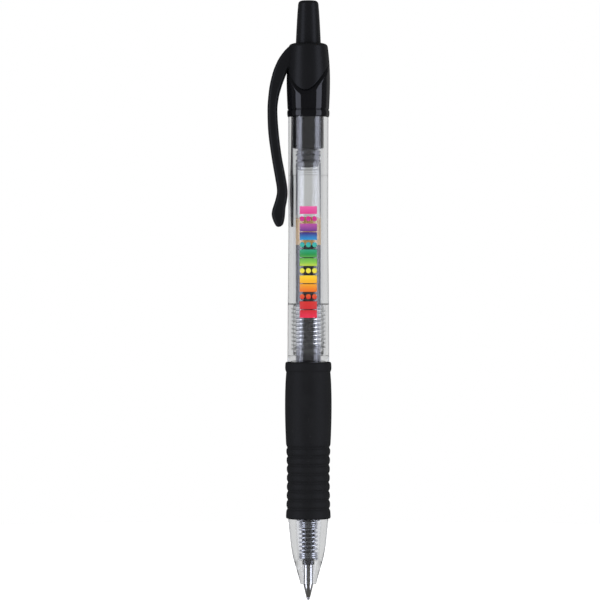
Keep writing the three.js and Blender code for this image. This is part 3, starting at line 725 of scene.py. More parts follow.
rearBarrelLook = {"socket": 4.3, "bore": 3.62, "fitBore": 3.725, "waist": 4.71, "top": 4.77,
                  "socketRise": 0.15, "fitBoreDrop": 6.3}


def barrelSide():
    # the outer side of the rear barrel from the seam up, as (radius, height)
    look = rearBarrelLook
    outside = radiusOf("rear_barrel")
    waistZ = (seamZ + housingZ) / 2
    side = [(outside, seamZ), (outside - 0.02, seamZ + 4)]
    side += bend(side[-1], (outside - 0.06, seamZ + 14), (look["waist"], waistZ), 12)
    side += bend(side[-1], (look["waist"] - 0.02, waistZ + 12), (look["top"], housingZ), 12)
    return side


def makeRearBarrel():
    # a clear tube: socket for the spigot below, a wider fit for the housing above
    look = rearBarrelLook
    fitZ = spigotZ - look["fitBoreDrop"]
    socketZ = spigotTopZ + look["socketRise"]
    outline = [(look["socket"], seamZ)] + barrelSide()
    outline += [
        (look["fitBore"], housingZ), (look["fitBore"], fitZ), (look["bore"], fitZ - 0.06),
        (look["bore"], socketZ + 0.12), (look["bore"] + 0.12, socketZ),
        (look["socket"] - 0.1, socketZ), (look["socket"], socketZ - 0.1),
    ]
    piece = spinOutline("rearBarrel", outline, steps=144)
    settle(piece, "rear_section", "clear_barrel", clearBarrel, "rear_barrel")


housingLook = {
    "spigot": 3.675, "bore": 3.15, "upperBore": 3.41, "neck": 4.16,
    "foot": 4.82, "widest": 5.15, "length": 17.5, "drop": 0.65, "flange": 1.62,
    "edgeShare": 0.357, "edgeWave": 6, "edgeTurn": 0.16, "bandHeight": 1.3, "bandStep": 0.56,
    "skinRows": 14,
}
collarLook = {"gap": 0.05, "opening": 3.08, "shoulderDrop": 1.15, "lip": 0.25, "rows": 18}


def skinRadius(z):
    # outer radius of the housing and its collar at a height
    look = housingLook
    share = (z - housingTopZ + look["length"]) / look["length"]
    if share < 0.5:
        return look["foot"] + (look["widest"] - look["foot"]) * math.sin(math.pi * share)
    return look["widest"] - look["drop"] * (2 * share - 1) ** 2


def collarEdgeZ(angle):
    # height of the collar's wavy lower edge: low on the flanks, high by the clip
    look = housingLook
    fromClip = abs(angle - math.pi)
    offFlank = fromClip - (math.pi / 2 - look["edgeTurn"])
    wave = look["edgeWave"] / 2 * (1 - math.cos(2 * offFlank))
    return housingTopZ - look["length"] * (1 - look["edgeShare"]) + wave


def faceShare(angle):
    # 1 on the pen's front and back, fading to 0 at its sides, where the edges run flush
    return max(0, min(1, 3 * abs(math.sin(angle)) - 0.5))


def waveWith(piece, fixedZ, movedZ):
    # lifts a spun piece's rows between fixedZ and movedZ so that movedZ follows the wavy edge;
    # the recessed band along the edge keeps its height
    band = housingLook["bandHeight"]
    for vertex in piece.data.vertices:
        x, y, z = vertex.co / mm
        share = (z - fixedZ) / (movedZ - band - fixedZ)
        if share <= 0:
            continue
        edge = collarEdgeZ(math.atan2(y, x) % fullTurn)
        lifted = z + min(1, share) * (edge - movedZ)
        if z <= movedZ + 0.0001:
            radius = math.hypot(x, y)
            recess = (skinRadius(z) - radius) * faceShare(math.atan2(y, x))
            if radius > housingLook["neck"] + 0.05:
                vertex.co.x *= (skinRadius(lifted) - recess) / radius
                vertex.co.y *= (skinRadius(lifted) - recess) / radius
            vertex.co.z = lifted * mm


def makeHousing():
    # spigot, flange, groove, skin and the recessed band that follows the collar's edge
    look = housingLook
    flangeZ = housingTopZ - look["length"]
    grooveZ = flangeZ + look["flange"]
    skinZ = grooveZ + 0.35
    edgeZ = flangeZ + look["edgeShare"] * look["length"]
    neckZ = high("clip_housing")
    spigot, foot = look["spigot"], look["foot"]
    outline = [(look["bore"], spigotZ), (spigot - 0.2, spigotZ), (spigot, spigotZ + 0.2),
               (spigot, flangeZ), (foot - 0.1, flangeZ)]
    outline += bend(outline[-1], (foot + 0.1, flangeZ), (foot + 0.14, flangeZ + 0.3), 5)
    outline += bend(outline[-1], (foot + 0.24, flangeZ + 0.85), (foot + 0.16, grooveZ - 0.2), 6)
    outline += bend(outline[-1], (foot + 0.14, grooveZ), (foot - 0.05, grooveZ), 4)
    outline += [(foot - 0.05, grooveZ + 0.14)]
    outline += bend(outline[-1], (skinRadius(skinZ) - 0.04, grooveZ + 0.14),
                    (skinRadius(skinZ), skinZ), 4)
    for row in range(1, look["skinRows"] + 1):
        z = skinZ + row / look["skinRows"] * (edgeZ - look["bandHeight"] - skinZ)
        outline.append((skinRadius(z), z))
    for share in (0.04, 0.1, 0.3, 0.5, 0.7, 0.85):
        z = edgeZ - look["bandHeight"] * (1 - share)
        outline.append((skinRadius(z) - look["bandStep"] * (share - 0.02), z))
    outline += [(skinRadius(edgeZ) - look["bandStep"], edgeZ), (look["neck"], edgeZ),
                (look["neck"], neckZ), (look["upperBore"], neckZ),
                (look["upperBore"], flangeZ + 0.9), (look["bore"], flangeZ + 0.6)]
    piece = spinOutline("clipHousing", outline, steps=192)
    waveWith(piece, grooveZ + 0.3, edgeZ)
    settle(piece, "rear_section", "housing_black", housingBlack, "clip_housing")


def makeCollar():
    # a matte sleeve over the housing's neck, its lower edge wavy and its shoulder round
    look = collarLook
    edgeZ = housingTopZ - housingLook["length"] * (1 - housingLook["edgeShare"])
    shoulderZ = housingTopZ - look["shoulderDrop"]
    bore = housingLook["neck"] + look["gap"]
    opening = look["opening"]
    outer = []
    lip = edgeZ + look["lip"]
    for row in range(look["rows"] + 1):
        z = lip + row / look["rows"] * (shoulderZ - lip)
        outer.append((skinRadius(z), z))
    outline = [(bore, edgeZ + 0.04), (skinRadius(edgeZ) - 0.14, edgeZ + 0.04)]
    outline += bend(outline[-1], (skinRadius(edgeZ), edgeZ + 0.04), outer[0], 5)
    outline += outer[1:]
    top = skinRadius(shoulderZ)
    outline += bend(outline[-1], (top - 0.06, housingTopZ - 0.45),
                    (top - 0.45, housingTopZ - 0.28), 7)
    outline += bend(outline[-1], (top - 1.0, housingTopZ - 0.02), (opening + 0.1, housingTopZ), 6)
    outline += [(opening, housingTopZ - 0.1), (opening, housingTopZ - 1.1),
                (bore, housingTopZ - 1.1)]
    piece = spinOutline("clipCollar", outline, steps=192)
    for vertex in piece.data.vertices:  # the wave fades out towards the shoulder
        x, y, z = vertex.co / mm
        share = max(0, min(1, (shoulderZ - z) / (shoulderZ - edgeZ)))
        if math.hypot(x, y) < bore + 0.02 and z > edgeZ + 1:
            continue
        lift = (collarEdgeZ(math.atan2(y, x) % fullTurn) - edgeZ) * share
        radius = math.hypot(x, y)
        if radius > bore + 0.05:
            recess = (skinRadius(z) - radius) * (faceShare(math.atan2(y, x)) if share > 0.9 else 1)
            vertex.co.x *= (skinRadius(z + lift) - recess) / radius
            vertex.co.y *= (skinRadius(z + lift) - recess) / radius
        vertex.co.z = (z + lift) * mm
    settle(piece, "rear_section", "trim_black", trimBlack, "clip_collar")


# the printed decoration: rows of plain shapes, heights above the barrel's seam
printLook = {
    "low": 8.9, "high": 35.2, "halfWidth": 2.1, "filmInside": 0.005, "filmOutside": 0.03,
    "rows": 13, "dotsEvery": 3, "barHeight": 1.82, "dot": 0.6, "dotPlace": 1.5, "slice": 0.3,
    "fleck": 0.1, "fleckColour": (0.7, 0.68, 0.68), "wear": 0.12, "wearColour": (0.3, 0.3, 0.31),
    "dotCorners": 40,
    "colours": [  # place along the print from 0 to 1, and the colour there
        (0.0, (0.562, 0.00888, 0.0444)), (0.07, (0.422, 0.00148, 0.00592)),
        (0.17, (0.459, 0.0148, 0.00592)), (0.25, (0.577, 0.126, 0.00296)),
        (0.35, (0.666, 0.37, 0.00222)), (0.43, (0.555, 0.518, 0.037)),
        (0.5, (0.148, 0.37, 0.037)), (0.57, (0.00222, 0.192, 0.037)),
        (0.65, (0.0222, 0.296, 0.222)), (0.71, (0.0074, 0.163, 0.37)),
        (0.76, (0.0222, 0.00592, 0.133)), (0.83, (0.281, 0.0444, 0.222)),
        (0.9, (0.444, 0.00074, 0.133)), (1.0, (0.555, 0.074, 0.237)),
    ],
}


def printMaterial():
    # screen-printed ink: colour runs along the pen, with fine pinholes and a soft mottle
    look = printLook
    material, tree, shader, place = newMaterial("printInk")
    split = addNode(tree, "ShaderNodeSeparateXYZ", [("Vector", place)])
    lowZ, highZ = (seamZ + look["low"]) * mm, (seamZ + look["high"]) * mm
    along = addNode(tree, "ShaderNodeMapRange", [("Value", split.outputs["Z"])],
                    in_From_Min=lowZ, in_From_Max=highZ)
    rainbow = addNode(tree, "ShaderNodeValToRGB", [("Fac", along.outputs[0])])
    stops = rainbow.color_ramp.elements
    for stop in look["colours"][1:-1]:
        stops.new(stop[0])
    for stop, (share, colour) in zip(stops, look["colours"]):
        stop.position = share
        stop.color = (*colour, 1)
    grain = placeGroup(tree, mouldGrain, place, Scale=7000.0)
    marks = placeGroup(tree, handlingMarks, place, Scratches=0.6, Smudges=0.4)
    flecks = mathNode(tree, "MULTIPLY", grain.outputs["Peaks"], look["fleck"])
    mottled = mixColours(tree, flecks, rainbow.outputs["Color"], look["fleckColour"])
    rubbed = mathNode(tree, "MULTIPLY", marks.outputs["Smudge"], look["wear"])
    worn = mixColours(tree, rubbed, mottled, look["wearColour"])
    tree.links.new(worn, shader.inputs["Base Color"])
    rough = mathNode(tree, "ADD", 0.35, mathNode(tree, "MULTIPLY", grain.outputs["Peaks"], 0.3))
    tree.links.new(rough, shader.inputs["Roughness"])
    addBump(tree, shader, grain.outputs["Height"], 0.000003)
    shader.inputs["Specular IOR Level"].default_value = 0.2
    return material


def addFlatShape(shape, x, z, halfWidth, halfHeight):
    # one plain shape standing in the plane through the pen's axis, facing the front
    bpy.ops.object.select_all(action="DESELECT")
    if shape == "dot":
        bpy.ops.mesh.primitive_circle_add(vertices=printLook["dotCorners"], radius=1,
                                          fill_type="NGON", location=(0, 0, 0),
                                          rotation=(math.pi / 2, 0, 0))
    else:
        bpy.ops.mesh.primitive_plane_add(size=2, location=(0, 0, 0),
                                         rotation=(math.pi / 2, 0, 0))
    bpy.ops.object.transform_apply(location=False, rotation=True, scale=False)
    bpy.ops.object.mode_set(mode="EDIT")
    bpy.ops.mesh.select_all(action="SELECT")
    bpy.ops.transform.resize(value=(halfWidth * mm, 1, halfHeight * mm))
    bpy.ops.transform.translate(value=(x * mm, 0, z * mm))
    bpy.ops.object.mode_set(mode="OBJECT")
    return bpy.context.active_object


def makePrint():
    # rows of bars and dots, cut into narrow slices, wrapped onto the barrel and given a thickness
    look = printLook
    lowZ, highZ = seamZ + look["low"], seamZ + look["high"]
    pitch = (highZ - lowZ - look["barHeight"]) / (look["rows"] - 1)
    half = look["barHeight"] / 2
    shapes = []
    for row in range(look["rows"]):
        z = lowZ + half + row * pitch
        if (row + 1) % look["dotsEvery"]:
            shapes.append(addFlatShape("bar", 0, z, look["halfWidth"], half))
        else:
            shapes += [addFlatShape("dot", side * look["dotPlace"], z, look["dot"], look["dot"])
                       for side in (-1, 0, 1)]
    piece = joinAs("colourPrint", shapes)
    bpy.ops.object.mode_set(mode="EDIT")
    wide = look["halfWidth"]
    cuts = int(2 * wide / look["slice"])
    for cut in range(1, cuts):
        bpy.ops.mesh.select_all(action="SELECT")
        x = cut * 2 * wide / cuts - wide
        bpy.ops.mesh.bisect(plane_co=(x * mm, 0, 0), plane_no=(1, 0, 0))
    bpy.ops.mesh.select_all(action="SELECT")
    bpy.ops.mesh.normals_make_consistent(inside=False)
    bpy.ops.object.mode_set(mode="OBJECT")
    side = barrelSide()
    for vertex in piece.data.vertices:  # wrapped onto the barrel
        x, z = vertex.co.x / mm, vertex.co.z / mm
        for (lowR, lowAt), (highR, highAt) in zip(side, side[1:]):
            if lowAt <= z <= highAt:
                radius = lowR + (highR - lowR) * (z - lowAt) / (highAt - lowAt)
        radius += look["filmOutside"]
        vertex.co.x = radius * math.sin(x / radius) * mm
        vertex.co.y = -radius * math.cos(x / radius) * mm
    if piece.data.polygons[0].normal.y > 0:
        piece.data.flip_normals()
    modifier = piece.modifiers.new("film", "SOLIDIFY")
    modifier.thickness = (look["filmOutside"] + look["filmInside"]) * mm
    modifier.offset = -1
    bpy.ops.object.modifier_apply(modifier=modifier.name)
    bpy.ops.object.shade_smooth_by_angle(angle=math.radians(30))
    settle(piece, "rear_section", "trim_black", printMaterial())


makeRearBarrel()
makePrint()
makeHousing()
makeCollar()
print("rear section built")


# Pocket clip. Each station pairs a point of its outer side with one of its inner side, given as
# distance from the pen's axis and drop below the top of the housing.
clipLook = {"round": 0.9, "cornerAngles": (0, 0.26, 0.52, 0.79, 1.05, 1.31, math.pi / 2),
            "cornerShare": 0.45}
clipOuter = [(3.6, 0.62), (4.5, 0.85), (5.1, 1.35), (5.75, 2.05), (6.7, 3.3), (7.5, 4.75),
             (8.3, 6.7), (9.05, 9.6), (9.45, 12.4), (9.67, 15.9), (9.47, 21.4), (8.65, 27.4),
             (7.85, 32), (7.43, 34.9), (7.75, 37), (8.6, 39.8), (8.55, 41.4), (7.8, 43.1), (7.2, 43.5)]
clipInner = [(3.6, 6.2), (4.3, 6.1), (4.75, 6.15), (5.0, 6.6), (5.25, 7.3), (5.6, 8.2),
             (6.08, 9.5), (6.65, 11.3), (7.05, 13), (7.33, 16), (7.0, 21.2), (6.3, 26.8), (5.4, 31.5),
             (4.89, 34.9), (5.05, 37.2), (5.4, 39), (5.55, 41), (5.95, 42.8), (6.6, 43.4)]


def makeClip():
    # a bar skinned over sections from inside the collar to the upturned end
    look = clipLook
    outer = through(clipOuter, 6)
    inner = through(clipInner, 6)
    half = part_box("clip")[1].y / mm
    corner = [(math.sin(a) * look["round"], (1 - math.cos(a)) * look["round"])
              for a in look["cornerAngles"]]
    vertices, faces = [], []
    for (outX, outDrop), (inX, inDrop) in zip(outer, inner):
        thick = math.hypot(outX - inX, outDrop - inDrop)
        scale = min(1, look["cornerShare"] * thick / look["round"])
        ring = []
        for across, deep in corner:  # outer side, towards +y, then round to the inner side
            y = half - look["round"] * scale + across * scale
            ring.append((y, 1 - deep * scale / thick))
        ring += [(y, 1 - share) for y, share in reversed(ring)]
        ring += [(-y, share) for y, share in reversed(ring)]
        for y, share in ring:
            x = inX + (outX - inX) * share
            drop = inDrop + (outDrop - inDrop) * share
            vertices.append((-x * mm, y * mm, (housingTopZ - drop) * mm))
    count = len(ring)
    for step in range(len(outer) - 1):
        for i in range(count):
            j = (i + 1) % count
            a, b = step * count, (step + 1) * count
            faces.append((a + i, a + j, b + j, b + i))
    faces.append(tuple(range(count)))
    last = (len(outer) - 1) * count
    faces.append(tuple(range(last + count - 1, last - 1, -1)))
    mesh = bpy.data.meshes.new("pocketClip")
    mesh.from_pydata(vertices, [], faces)
    piece = bpy.data.objects.new("pocketClip", mesh)
    bpy.context.scene.collection.objects.link(piece)
    selectOnly(piece)
    bpy.ops.object.mode_set(mode="EDIT")
    bpy.ops.mesh.select_all(action="SELECT")
    bpy.ops.mesh.remove_doubles(threshold=0.0005 * mm)
    bpy.ops.mesh.normals_make_consistent(inside=False)
    finishMesh(piece, smoothAngle=40)
    settle(piece, "pocket_clip", "trim_black", trimBlack, "clip")


makeClip()
print("clip built")


# Click mechanism: push button and cam rotor.

buttonLook = {"radius": 2.96, "shoulder": 2.56, "shoulderRise": 7.5, "top": 2.4, "round": 0.95,
              "sleeve": 2.8, "bore": 2.1, "flange": 3.3, "flangeDrop": 6.52, "flangeLength": 0.8,
              "rotorGap": 0.75, "edgeRound": 0.06}


def makeButton():
    # a tapered cap with a rounded top, a stop flange and a hollow sleeve over the rotor
    look = buttonLook
    radius, bore, sleeve, flange = look["radius"], look["bore"], look["sleeve"], look["flange"]
    top = look["top"]
    flangeZ = housingTopZ - look["flangeDrop"]
    flangeFootZ = flangeZ - look["flangeLength"]
    footZ = high("cam_rotor") + look["rotorGap"]
    shoulderZ = housingTopZ + look["shoulderRise"]
    roundZ = buttonTopZ - look["round"]
    outline = [(0, shoulderZ), (bore - 0.6, shoulderZ), (bore, housingTopZ), (bore, footZ),
               (sleeve, footZ), (sleeve, flangeFootZ), (flange, flangeFootZ), (flange, flangeZ),
               (radius, flangeZ), (radius, housingTopZ)]
    outline += bend(outline[-1], (radius - 0.16, housingTopZ + 4), (look["shoulder"], shoulderZ), 8)
    outline += [(top + 0.02, roundZ)]
    outline += bend(outline[-1], (top - 0.04, buttonTopZ - 0.1), (top - 0.85, buttonTopZ - 0.02), 9)
    outline += [(top - 1.1, buttonTopZ), (0, buttonTopZ)]
    piece = spinOutline("pushButton", outline, steps=128, bevelWidth=look["edgeRound"],
                        closed=False)
    settle(piece, "button", "trim_black", trimBlack, "push_button")


rotorLook = {"pin": 1.815, "pinLength": 4.15, "foot": 2.6, "core": 2.0, "teeth": 6, "toothHeight": 0.6,
             "slopeShare": 0.85}


def makeRotor():
    # the cam rotor: its pin sits in the refill's tail and saw teeth crown its top
    look = rotorLook
    pinZ = low("cam_rotor")
    footZ = pinZ + look["pinLength"] + 0.1
    rootZ = high("cam_rotor") - look["toothHeight"]
    pin, foot, core = look["pin"], look["foot"], look["core"]
    outline = [(0, pinZ), (pin - 0.28, pinZ), (pin - 0.08, pinZ + 0.08), (pin, pinZ + 0.28),
               (pin, footZ), (foot - 0.2, footZ), (foot, footZ + 0.3), (core, footZ + 1.2),
               (core, footZ + 1.6), (foot, footZ + 1.65), (foot, rootZ), (core - 0.3, rootZ),
               (core - 0.3, rootZ - 0.3), (0, rootZ - 0.3)]
    piece = spinOutline("camRotor", outline, steps=96, closed=False)
    for vertex in piece.data.vertices:  # a slow slope and a steep back to each tooth
        x, y, z = vertex.co / mm
        if abs(z - rootZ) < 0.05 and math.hypot(x, y) > core - 0.4:
            share = (math.atan2(y, x) / fullTurn * look["teeth"]) % 1
            rise = min(share / look["slopeShare"], (1 - share) / (1 - look["slopeShare"]))
            vertex.co.z = (z + look["toothHeight"] * rise) * mm
    settle(piece, "rotor", "mechanism_black", mechanismBlack, "cam_rotor")


makeButton()
makeRotor()
print("click mechanism built")


# Refill: tube, tail plug, ink, grease, holder, point and balls.

refillLook = {"radius": 3.0, "bore": 2.6, "gap": 0.03, "tailBore": 1.8, "grooveHalf": 0.18,
              "grooveDrops": (2.4, 1.0), "wetting": 0.015, "ringRadius": 2.87, "ringWire": 0.125,
              "edgeRound": 0.05}


def makeTube():
    look = refillLook
    bore, radius = look["bore"], look["radius"]
    lowZ, highZ = low("refill_tube"), high("refill_tube")
    outline = [(bore, lowZ), (radius, lowZ), (radius, highZ), (bore, highZ)]
    piece = spinOutline("refillTube", outline, steps=128, bevelWidth=look["edgeRound"])
    settle(piece, "refill", "refill_clear", refillClear, "refill_tube")


def makeTailPlug():
    # a vented plug in the tube's end, with two round grooves outside
    look = refillLook
    radius, vent, half = look["radius"], look["tailBore"], look["grooveHalf"]
    inner = look["bore"] - look["gap"]
    lowZ, highZ = low("refill_tail_plug"), high("refill_tail_plug")
    flangeZ = high("refill_tube") + 0.05
    outline = [(vent, lowZ), (inner - 0.15, lowZ), (inner, lowZ + 0.2), (inner, flangeZ),
               (radius, flangeZ)]
    for drop in look["grooveDrops"]:
        z = highZ - drop
        outline += [(radius, z - half)]
        outline += bend(outline[-1], (radius - 2 * half, z), (radius, z + half), 6)
    outline += [(radius, highZ - 0.15), (radius - 0.15, highZ), (vent, highZ)]
    piece = spinOutline("refillTailPlug", outline, steps=96)
    settle(piece, "refill", "refill_clear", refillClear, "refill_tail_plug")


def makeSealRings():
    # two thin dark rings in the tail plug's grooves
    look = refillLook
    highZ = high("refill_tail_plug")
    rings = []
    for drop in reversed(look["grooveDrops"]):
        bpy.ops.object.select_all(action="DESELECT")
        bpy.ops.mesh.primitive_torus_add(major_segments=96, minor_segments=10,
                                         major_radius=look["ringRadius"] * mm,
                                         minor_radius=look["ringWire"] * mm, location=(0, 0, 0))
        bpy.ops.object.mode_set(mode="EDIT")
        bpy.ops.mesh.select_all(action="SELECT")
        bpy.ops.transform.translate(value=(0, 0, (highZ - drop) * mm))
        bpy.ops.object.mode_set(mode="OBJECT")
        rings.append(bpy.context.active_object)
    piece = joinAs("sealRings", rings)
    bpy.ops.object.shade_smooth()
    settle(piece, "refill", "holder", holderSmoke)


def makeColumn(name, node, slot, material, lowSag, highSag):
    # a liquid column; each end sags by that much at the middle
    radius = refillLook["bore"] + refillLook["wetting"]  # wets the tube, so no air film mirrors
    bulge = radius * 0.7
    lowZ, highZ = low(node), high(node)
    dipZ, crestZ = lowZ + lowSag, highZ - highSag
    outline = [(0, dipZ)] + bend((0, dipZ), (bulge, dipZ), (radius, lowZ), 8)
    outline += [(radius, highZ)] + bend((radius, highZ), (bulge, crestZ), (0, crestZ), 8)
    piece = spinOutline(name, outline, steps=96, closed=False)
    settle(piece, "refill", slot, material, node)


holderLook = {"mouth": 0.95, "lip": 1.28, "nose": 1.4, "sleeve": 1.655, "seat": 2.1,
              "shoulder": 2.9, "snap": 0.12, "chamber": 1.0, "throat": 0.5, "chamberDepth": 2.2,
              "edgeRound": 0.05}


def makeHolder():
    # grips the point below, seats the spring on its shoulder and plugs the tube above
    look = holderLook
    mouth, sleeve, shoulder = look["mouth"], look["sleeve"], look["shoulder"]
    chamber, throat = look["chamber"], look["throat"]
    lowZ, highZ = low("tip_holder"), high("tip_holder")
    shoulderZ = high("return_spring") + 0.05
    faceZ = low("refill_tube") - 0.04
    plug = refillLook["bore"] - refillLook["gap"]
    chamberZ = highZ - look["chamberDepth"]
    shankTopZ = high("tip_body") + 0.2
    outline = [(mouth, lowZ), (look["lip"], lowZ), (look["nose"], lowZ + 0.15),
               (sleeve, shoulderZ - 1.4)]
    outline += bend(outline[-1], (sleeve, shoulderZ), (look["seat"], shoulderZ), 5)
    outline += [(shoulder, shoulderZ), (shoulder, faceZ), (plug, faceZ), (plug, faceZ + 0.6),
                (plug - look["snap"], faceZ + 0.75), (plug - look["snap"], faceZ + 1.1),
                (plug, faceZ + 1.25), (plug, highZ), (chamber, highZ), (chamber, chamberZ),
                (throat, chamberZ - 0.5), (throat, shankTopZ), (mouth, shankTopZ)]
    piece = spinOutline("tipHolder", outline, steps=96, bevelWidth=look["edgeRound"])
    settle(piece, "refill", "holder", holderSmoke, "tip_holder")


tipLook = {"seat": 0.35, "rim": 0.37, "collar": 0.43, "coneFoot": 0.49, "coneTop": 1.02,
           "tube": 1.125, "ring": 1.07, "shank": 0.9, "bore": 0.3, "edgeRound": 0.02}


def makeTipBody():
    # turned metal point: crimped rim, cone, tube with a turned ring, shank
    look = tipLook
    tube, ring, shank, bore = look["tube"], look["ring"], look["shank"], look["bore"]
    lowZ, highZ = low("tip_body"), high("tip_body")
    holderZ = low("tip_holder")
    outline = [(look["seat"], lowZ + 0.02), (look["rim"], lowZ)]
    outline += bend(outline[-1], (0.41, lowZ + 0.02), (look["collar"], lowZ + 0.25), 4)
    outline += [(0.46, lowZ + 0.45), (look["coneFoot"], lowZ + 0.5), (look["coneTop"], lowZ + 2.72)]
    outline += bend(outline[-1], (tube - 0.015, lowZ + 3.1), (tube, lowZ + 3.35), 4)
    outline += [(tube, holderZ - 0.75), (ring, holderZ - 0.68), (ring, holderZ - 0.55),
                (tube, holderZ - 0.48), (tube, holderZ - 0.05), (shank, holderZ - 0.05),
                (shank, highZ), (bore, highZ), (bore, lowZ + 0.75), (0.36, lowZ + 0.5)]
    piece = spinOutline("tipBody", outline, steps=96, bevelWidth=look["edgeRound"])
    settle(piece, "refill", "tip_metal", tipMetal, "tip_body")


def makeBall(name, node, body, slot, material):
    # an icosphere at the node's own size
    corner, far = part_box(node)
    middle = (corner + far) / 2
    bpy.ops.object.select_all(action="DESELECT")
    bpy.ops.mesh.primitive_ico_sphere_add(subdivisions=4, radius=(far.z - corner.z) / 2,
                                          location=(0, 0, 0))
    piece = bpy.context.active_object
    piece.name = name
    piece.data.name = name
    bpy.ops.object.mode_set(mode="EDIT")
    bpy.ops.mesh.select_all(action="SELECT")
    bpy.ops.transform.translate(value=middle)
    bpy.ops.object.mode_set(mode="OBJECT")
    bpy.ops.object.shade_smooth()
    settle(piece, body, slot, material, node)


makeTube()
makeTailPlug()
makeSealRings()
makeColumn("inkColumn", "ink_column", "ink", inkBlack, 0.0, 0.35)
makeColumn("greaseFollower", "grease_follower", "grease", followerGrease, -0.32, 0.6)
makeHolder()
makeTipBody()
makeBall("backflowBall", "backflow_ball", "refill", "ball_metal", ballMetal)
makeBall("tipBall", "tip_ball", "writing_ball", "ball_metal", ballMetal)
print("refill built")


# Stage, light and camera, in metres.

# what a ray sees: "mirrored" a surface's reflection of the dark room, "through" the backdrop
# through clear plastic, "wall" the backdrop from inside a clear wall
studio = {
    "mirrored": 0.095, "through": 0.62, "wall": 0.72, "behindFrom": 0.3, "behindFull": 0.75,
    "steepFrom": 0.42, "steepFull": 0.72, "steepShare": 0.25, "lensLength": 200, "distance": 0.79,
    "aimX": -0.00197, "aimZ": 0.0332, "lampHeight": 0.033, "floorRadius": 0.28,
}
softboxBlue = (0.88, 0.92, 1.12)
white = (1, 1, 1)
lampLook = {
    "softboxLeft": {"side": -57, "width": 0.33, "height": 0.8, "distance": 0.6, "radiance": 2.4,
                    "colour": softboxBlue, "mirroredInGlass": True},
    "softboxRight": {"side": 60, "width": 0.34, "height": 0.8, "distance": 0.6, "radiance": 2.4,
                     "colour": softboxBlue, "mirroredInGlass": True},
    "rimLeft": {"side": -130, "width": 0.3, "height": 0.75, "distance": 0.65, "radiance": 0.15,
                "colour": white, "mirroredInGlass": False},
    "rimRight": {"side": 128, "width": 0.34, "height": 0.75, "distance": 0.65, "radiance": 0.28,
                 "colour": white, "mirroredInGlass": False},
}


def addLamp(name, look):
    # a softbox that faces the pen; side is its bearing in degrees from the camera, + to the right
    bearing = math.radians(look["side"])
    distance, height = look["distance"], studio["lampHeight"]
    place = Vector((distance * math.sin(bearing), -distance * math.cos(bearing), height))
    data = bpy.data.lights.new(name, "AREA")
    data.shape = "RECTANGLE"
    data.size = look["width"]
    data.size_y = look["height"]
    data.energy = look["radiance"] * math.pi * look["width"] * look["height"]
    data.color = look["colour"]
    lamp = bpy.data.objects.new(name, data)
    bpy.context.scene.collection.objects.link(lamp)
    lamp.location = place
    aim = Vector((0, 0, height)) - place
    lamp.rotation_euler = aim.to_track_quat("-Z", "Y").to_euler()
    lamp.visible_camera = False
    lamp.visible_transmission = look["mirroredInGlass"]


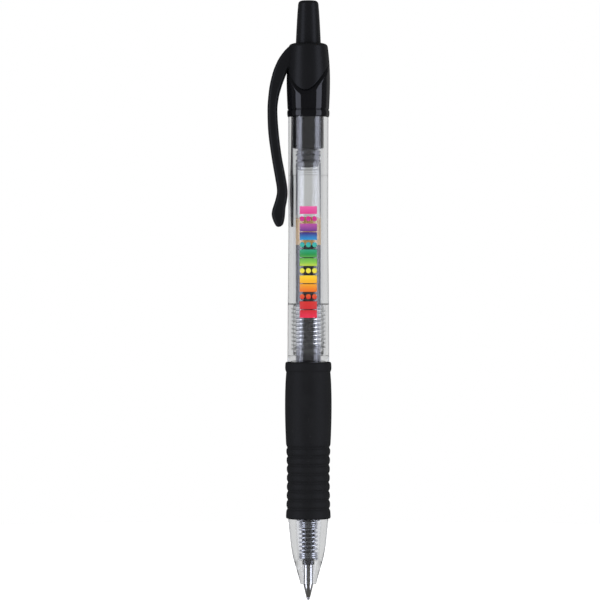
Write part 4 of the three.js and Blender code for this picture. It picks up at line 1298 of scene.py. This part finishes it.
def makeWorld():
    world = bpy.data.worlds.new("studio")
    bpy.context.scene.world = world
    world.use_nodes = True
    tree = world.node_tree
    path = tree.nodes.new("ShaderNodeLightPath")
    backdrop = tree.nodes["Background"]
    # Seen straight through clear plastic the backdrop is dimmer, and a surface mirrors the dark
    # room in front. A ray turned back inside a clear wall sees the backdrop instead: that is taken
    # to be one that has gone through 2 or 3 surfaces, 6 or 7, and so on.
    seenThrough = path.outputs["Is Transmission Ray"]
    mirrored = mathNode(tree, "GREATER_THAN", path.outputs["Glossy Depth"], 0.5)
    passed = path.outputs["Transmission Depth"]
    inWall = mathNode(tree, "GREATER_THAN", mathNode(tree, "MODULO", passed, 4.0), 1.5)
    heading = addNode(tree, "ShaderNodeSeparateXYZ",
                      [("Vector", tree.nodes.new("ShaderNodeTexCoord").outputs["Generated"])])
    behind = addNode(tree, "ShaderNodeMapRange", [("Value", heading.outputs["Y"])],
                     in_From_Min=studio["behindFrom"], in_From_Max=studio["behindFull"])
    hasPassed = mathNode(tree, "MINIMUM", passed, 1.0)
    # one that leaves the plastic towards the back of the room sees the backdrop too
    grazed = mathNode(tree, "MULTIPLY", behind.outputs[0], hasPassed)
    inWall = mathNode(tree, "MAXIMUM", inWall, grazed)
    mirrorGlow = mathNode(tree, "ADD", studio["mirrored"],
                          mathNode(tree, "MULTIPLY", inWall, studio["wall"] - studio["mirrored"]))
    straight = mathNode(tree, "ADD", 1.0,
                        mathNode(tree, "MULTIPLY", seenThrough, studio["through"] - 1.0))
    mix = addNode(tree, "ShaderNodeMix", [("Factor", mirrored), ("A", straight), ("B", mirrorGlow)])
    # clear edges that bend light up or down go dark
    steep = mathNode(tree, "ABSOLUTE", heading.outputs["Z"], 0.0)
    level = addNode(tree, "ShaderNodeMapRange", [("Value", steep)], in_From_Min=studio["steepFrom"],
                    in_From_Max=studio["steepFull"], in_To_Min=1.0, in_To_Max=studio["steepShare"])
    shade = addNode(tree, "ShaderNodeMix", [("Factor", hasPassed), ("B", level.outputs[0])],
                    in_A=1.0)
    strength = mathNode(tree, "MULTIPLY", mix.outputs["Result"], shade.outputs["Result"])
    backdrop.inputs["Color"].default_value = (1, 1, 1, 1)
    tree.links.new(strength, backdrop.inputs["Strength"])


def makeStage():
    # a pale floor under the nib, left out of mirrors, glass and shadows as if the pen hung in air
    bpy.ops.object.select_all(action="DESELECT")
    bpy.ops.mesh.primitive_circle_add(vertices=96, radius=studio["floorRadius"],
                                      fill_type="NGON", location=(0, 0, tipZ * mm - 0.0002))
    floor = bpy.context.active_object
    floor.name = "floor"
    material, tree, shader, place = newMaterial("paleFloor")
    cloud = addNode(tree, "ShaderNodeTexNoise", [("Vector", place)], in_Scale=40.0)
    tree.links.new(mixColours(tree, cloud.outputs["Fac"], (0.93, 0.93, 0.93), (0.96, 0.96, 0.96)),
                   shader.inputs["Base Color"])
    shader.inputs["Roughness"].default_value = 0.9
    shader.inputs["Emission Color"].default_value = (1, 1, 1, 1)
    shader.inputs["Emission Strength"].default_value = 0.3
    floor.data.materials.append(material)
    floor.visible_glossy = False
    floor.visible_transmission = False
    floor.visible_shadow = False


def makeCamera():
    data = bpy.data.cameras.new("camera")
    data.lens = studio["lensLength"]
    data.sensor_width = 36
    data.clip_start = 0.01
    data.clip_end = 50
    camera = bpy.data.objects.new("camera", data)
    bpy.context.scene.collection.objects.link(camera)
    camera.location = (studio["aimX"], -studio["distance"], studio["aimZ"])
    camera.rotation_euler = (math.pi / 2, 0, 0)
    bpy.context.scene.camera = camera


makeWorld()
makeStage()
makeCamera()
for lampName, lampValues in lampLook.items():
    addLamp(lampName, lampValues)
bpy.context.scene.view_settings.view_transform = "Standard"
print("stage, light and camera ready")
